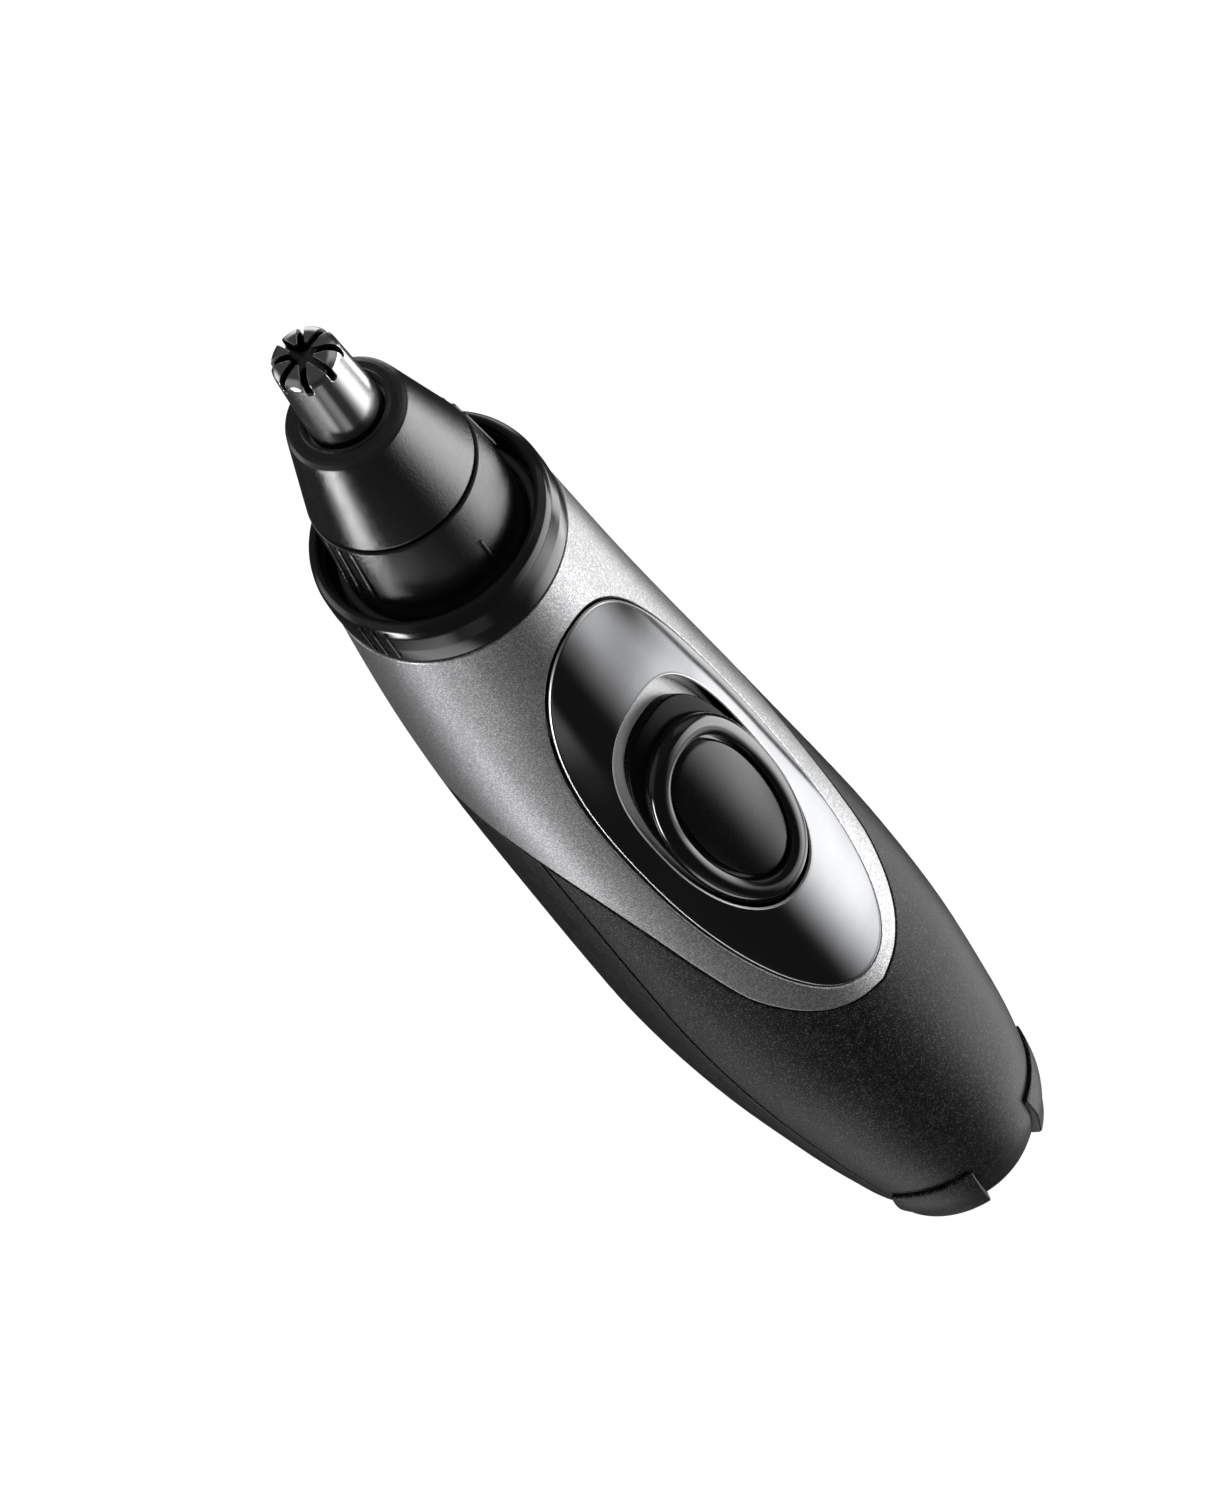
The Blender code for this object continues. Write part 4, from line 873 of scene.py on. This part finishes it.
def lug_section():
    """Web under the body's edge, then a wing that climbs the outside of the body."""
    sec = [(7.8, 0.01), (9.44, 0.01), (9.84, 0.35)]
    for k in range(1, 13):
        z = 0.35 + (LUG_H - 0.37) * k / 12
        sec.append((body_r(z) + 0.82 - 0.36 * k / 12 + 0.26 * (1 - k / 12), z))
    for k in range(12, -1, -1):
        z = 0.75 + (LUG_H - 0.77) * k / 12
        sec.append((body_r(z) + LUG_GAP, z))
    sec.append((7.8, 0.55))
    return sec
def lug(span):
    b0, b1, t0, t1 = span
    rad = {0: .05, 1: .2, 2: .5, 14: .12, 15: .12, 27: .1, 28: .05}
    for k in range(3, 14):
        rad[k] = 3.0
    sec = fillet(lug_section(), rad, 3)
    # the two ends are rounded: the section draws in a little there
    e2, n = 0.20, len(sec)
    stations = []
    for k in range(0, 6):
        q = math.pi / 2 * k / 5
        stations.append((0.0, e2 * (1 - math.cos(q)), e2 * (1 - math.sin(q))))
    for k in range(1, 24):
        stations.append((k / 24, e2 * (1 - k / 24) - e2 * k / 24, 0.0))
    for k in range(5, -1, -1):
        q = math.pi / 2 * k / 5
        stations.append((1.0, -e2 * (1 - math.cos(q)), e2 * (1 - math.sin(q))))
    rows = []
    for f, along, sh in stations:
        row = []
        for j, (r, z) in enumerate(sec):
            if sh > 0:
                t1v = Vector(sec[(j + 1) % n]) - Vector(sec[j - 1])
                t1v.normalize()
                r, z = r - t1v.y * sh * 0.9, z + t1v.x * sh * 0.9
            v = z / LUG_H
            a = math.radians((b0 + (b1 - b0) * f) * (1 - v) + (t0 + (t1 - t0) * f) * v) + along / 10.5
            row.append(Vector((r * math.sin(a), BY - r * math.cos(a), z)))
        rows.append(row)
    bm = bmesh.new()
    V = [[bm.verts.new(p) for p in row] for row in rows]
    for i in range(len(V) - 1):
        for j in range(n):
            k = (j + 1) % n
            bm.faces.new((V[i][j], V[i][k], V[i + 1][k], V[i + 1][j]))
    for row in (V[0], list(reversed(V[-1]))):
        f = bm.faces.new(row)
        bmesh.ops.triangulate(bm, faces=[f])
    return bm
cap = piece("cap", join(lathe(cap_prof, NS, cy=BY), *[lug(a) for a in LUG_SPANS]), CHARCOAL, "cap", ["battery_cap"])

# ================================================================ CAD nodes that stay get their finish
KEEP = {"switch_contact": BRASS, "switch_leaf": BRASS, "shaft_coupler": BRASS, "motor_shaft": CANM, "fan_impeller": CHAMBERM,
        "armature": COPPER, "filter_screen": CANM, "fan_housing": FRAMEM, "motor_can": CANM, "magnet_ring": CHAMBERM,
        "motor_endcap": CHAMBERM, "motor_mount": FRAMEM, "battery_tube": FRAMEM, "frame_screw_left": CANM, "frame_screw_right": CANM,
        "minus_strip": BRASS, "plus_contact": BRASS}
for name, mat in KEEP.items():
    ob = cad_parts[name]
    if not ob.material_slots:
        ob.data.materials.append(mat)
    for s in ob.material_slots:
        s.material = mat

# ================================================================ floor and light
def plane(name, size, mat, z=0.0):
    bm = bmesh.new()
    bmesh.ops.create_grid(bm, x_segments=1, y_segments=1, size=size / 2)
    for v in bm.verts:
        v.co.z = z
    me = bpy.data.meshes.new(name)
    bm.to_mesh(me)
    bm.free()
    ob = bpy.data.objects.new(name, me)
    bpy.context.scene.collection.objects.link(ob)
    me.materials.append(mat)
    return ob
FLOORM, fnt, fb = nodes_of("studio_floor")
ftc = coords(fnt)
fn = noise(fnt, ftc, 40.0, 2.0, 0.5)
fnt.links.new(mix_color(fnt, fn.outputs["Fac"], (0.80, 0.80, 0.80), (0.82, 0.82, 0.82)), fb.inputs["Base Color"])
fb.inputs["Roughness"].default_value = 0.75
floor = plane("floor", 6.0, FLOORM, -0.080)      # low enough for the base cap to be drawn off downwards
floor.visible_glossy = False          # glossy sides show the studio's light panels, which are in the world below
floor.visible_shadow = False
# pale backdrop far round the stage, for views near the horizon; only the camera sees it
BACKM, bnt, bb = nodes_of("studio_backdrop")
bb.inputs["Base Color"].default_value = (0.0, 0.0, 0.0, 1.0)
bb.inputs["Roughness"].default_value = 1.0
bb.inputs["Specular IOR Level"].default_value = 0.0
bb.inputs["Emission Color"].default_value = (1.0, 1.0, 1.0, 1.0)
bb.inputs["Emission Strength"].default_value = 0.40
bm = bmesh.new()
bmesh.ops.create_uvsphere(bm, u_segments=64, v_segments=32, radius=6.0)
me = bpy.data.meshes.new("backdrop")
bm.to_mesh(me)
bm.free()
backdrop = bpy.data.objects.new("backdrop", me)
bpy.context.scene.collection.objects.link(backdrop)
me.materials.append(BACKM)
for flag in ("visible_diffuse", "visible_glossy", "visible_transmission", "visible_volume_scatter", "visible_shadow"):
    setattr(backdrop, flag, False)

def area(name, pos, target, sx, sy, power, spread=180.0, glossy=True):
    d = bpy.data.lights.new(name, 'AREA')
    d.shape = 'RECTANGLE'
    d.size, d.size_y = sx, sy
    d.energy = power
    d.spread = math.radians(spread)
    ob = bpy.data.objects.new(name, d)
    ob.location = pos
    ob.rotation_euler = (Vector(target) - Vector(pos)).to_track_quat('-Z', 'Y').to_euler()
    ob.visible_glossy = glossy
    bpy.context.scene.collection.objects.link(ob)
    return ob
area("overhead", (0.0, 0.0, 2.2), (0, 0, 0), 3.0, 3.0, 100.0, glossy=False)

# ---------------------------------------------------------------- studio environment: soft panels by world direction
world = bpy.data.worlds.new("studio")
bpy.context.scene.world = world
world.use_nodes = True
wn = world.node_tree
bg = wn.nodes["Background"]
wtc = wn.nodes.new("ShaderNodeTexCoord")
wsep = wn.nodes.new("ShaderNodeSeparateXYZ")
wn.links.new(wtc.outputs["Generated"], wsep.inputs["Vector"])
def wmath(op, a, b=None):
    m = wn.nodes.new("ShaderNodeMath")
    m.operation = op
    for i, v in enumerate((a, b)):
        if v is None:
            continue
        if isinstance(v, (int, float)):
            m.inputs[i].default_value = v
        else:
            wn.links.new(v, m.inputs[i])
    return m.outputs[0]
W_AZ = wmath('MULTIPLY', wmath('ARCTAN2', wsep.outputs["X"], wmath('MULTIPLY', wsep.outputs["Y"], -1.0)), 180 / math.pi)
W_EL = wmath('MULTIPLY', wmath('ARCSINE', wsep.outputs["Z"]), 180 / math.pi)
def wstep(v, lo, hi, smooth='SMOOTHSTEP', a=0.0, b=1.0):
    r = wn.nodes.new("ShaderNodeMapRange")
    r.interpolation_type = smooth
    r.inputs["From Min"].default_value = lo
    r.inputs["From Max"].default_value = hi
    r.inputs["To Min"].default_value = a
    r.inputs["To Max"].default_value = b
    wn.links.new(v, r.inputs["Value"])
    return r.outputs["Result"]
def panel_light(az, el, power):
    """A soft panel: az and el are each (fade in from, to, fade out from, to) in degrees."""
    v = wmath('MULTIPLY', wstep(W_AZ, az[0], az[1]), wstep(W_AZ, az[2], az[3], a=1.0, b=0.0))
    w = wmath('MULTIPLY', wstep(W_EL, el[0], el[1]), wstep(W_EL, el[2], el[3], a=1.0, b=0.0))
    return wmath('MULTIPLY', wmath('MULTIPLY', v, w), power)
PANELS = [((-4, 48, 84, 88), (-49, -42, -26, -14), 4.4),
          ((-8, 38, 52, 84), (-60, -52, -47, -38), 1.3),
          ((12, 60, 100, 116), (-78, -66, -57, -51), 3.0),
          ((90, 95, 112, 122), (-60, -52, -45, -39), 2.4),
          ((-72, -50, -42, -30), (-60, -53, -48, -44), 0.35),
          ((-110, -103, -98, -95), (-36, -29, -15, -7), 24.0),
          ((-150, -112, -86, -66), (-78, -66, -52, -46), 1.7),
          ((25, 50, 84, 92), (-16, 0, 48, 62), 0.4),
          ((-140, -120, -86, -76), (-8, 4, 52, 66), 0.25),
          ((112, 122, 148, 164), (-26, -16, 12, 40), 1.3),
          ((-166, -152, -138, -124), (-24, -14, 12, 40), 1.1)]
total = wmath('MULTIPLY', wstep(W_EL, -8, 30), 0.04)
total = wmath('ADD', total, 0.03)
for az_w, el_w, pw in PANELS:
    total = wmath('ADD', total, panel_light(az_w, el_w, pw))
wn.links.new(total, bg.inputs["Strength"])
bg.inputs["Color"].default_value = (1, 1, 1, 1)
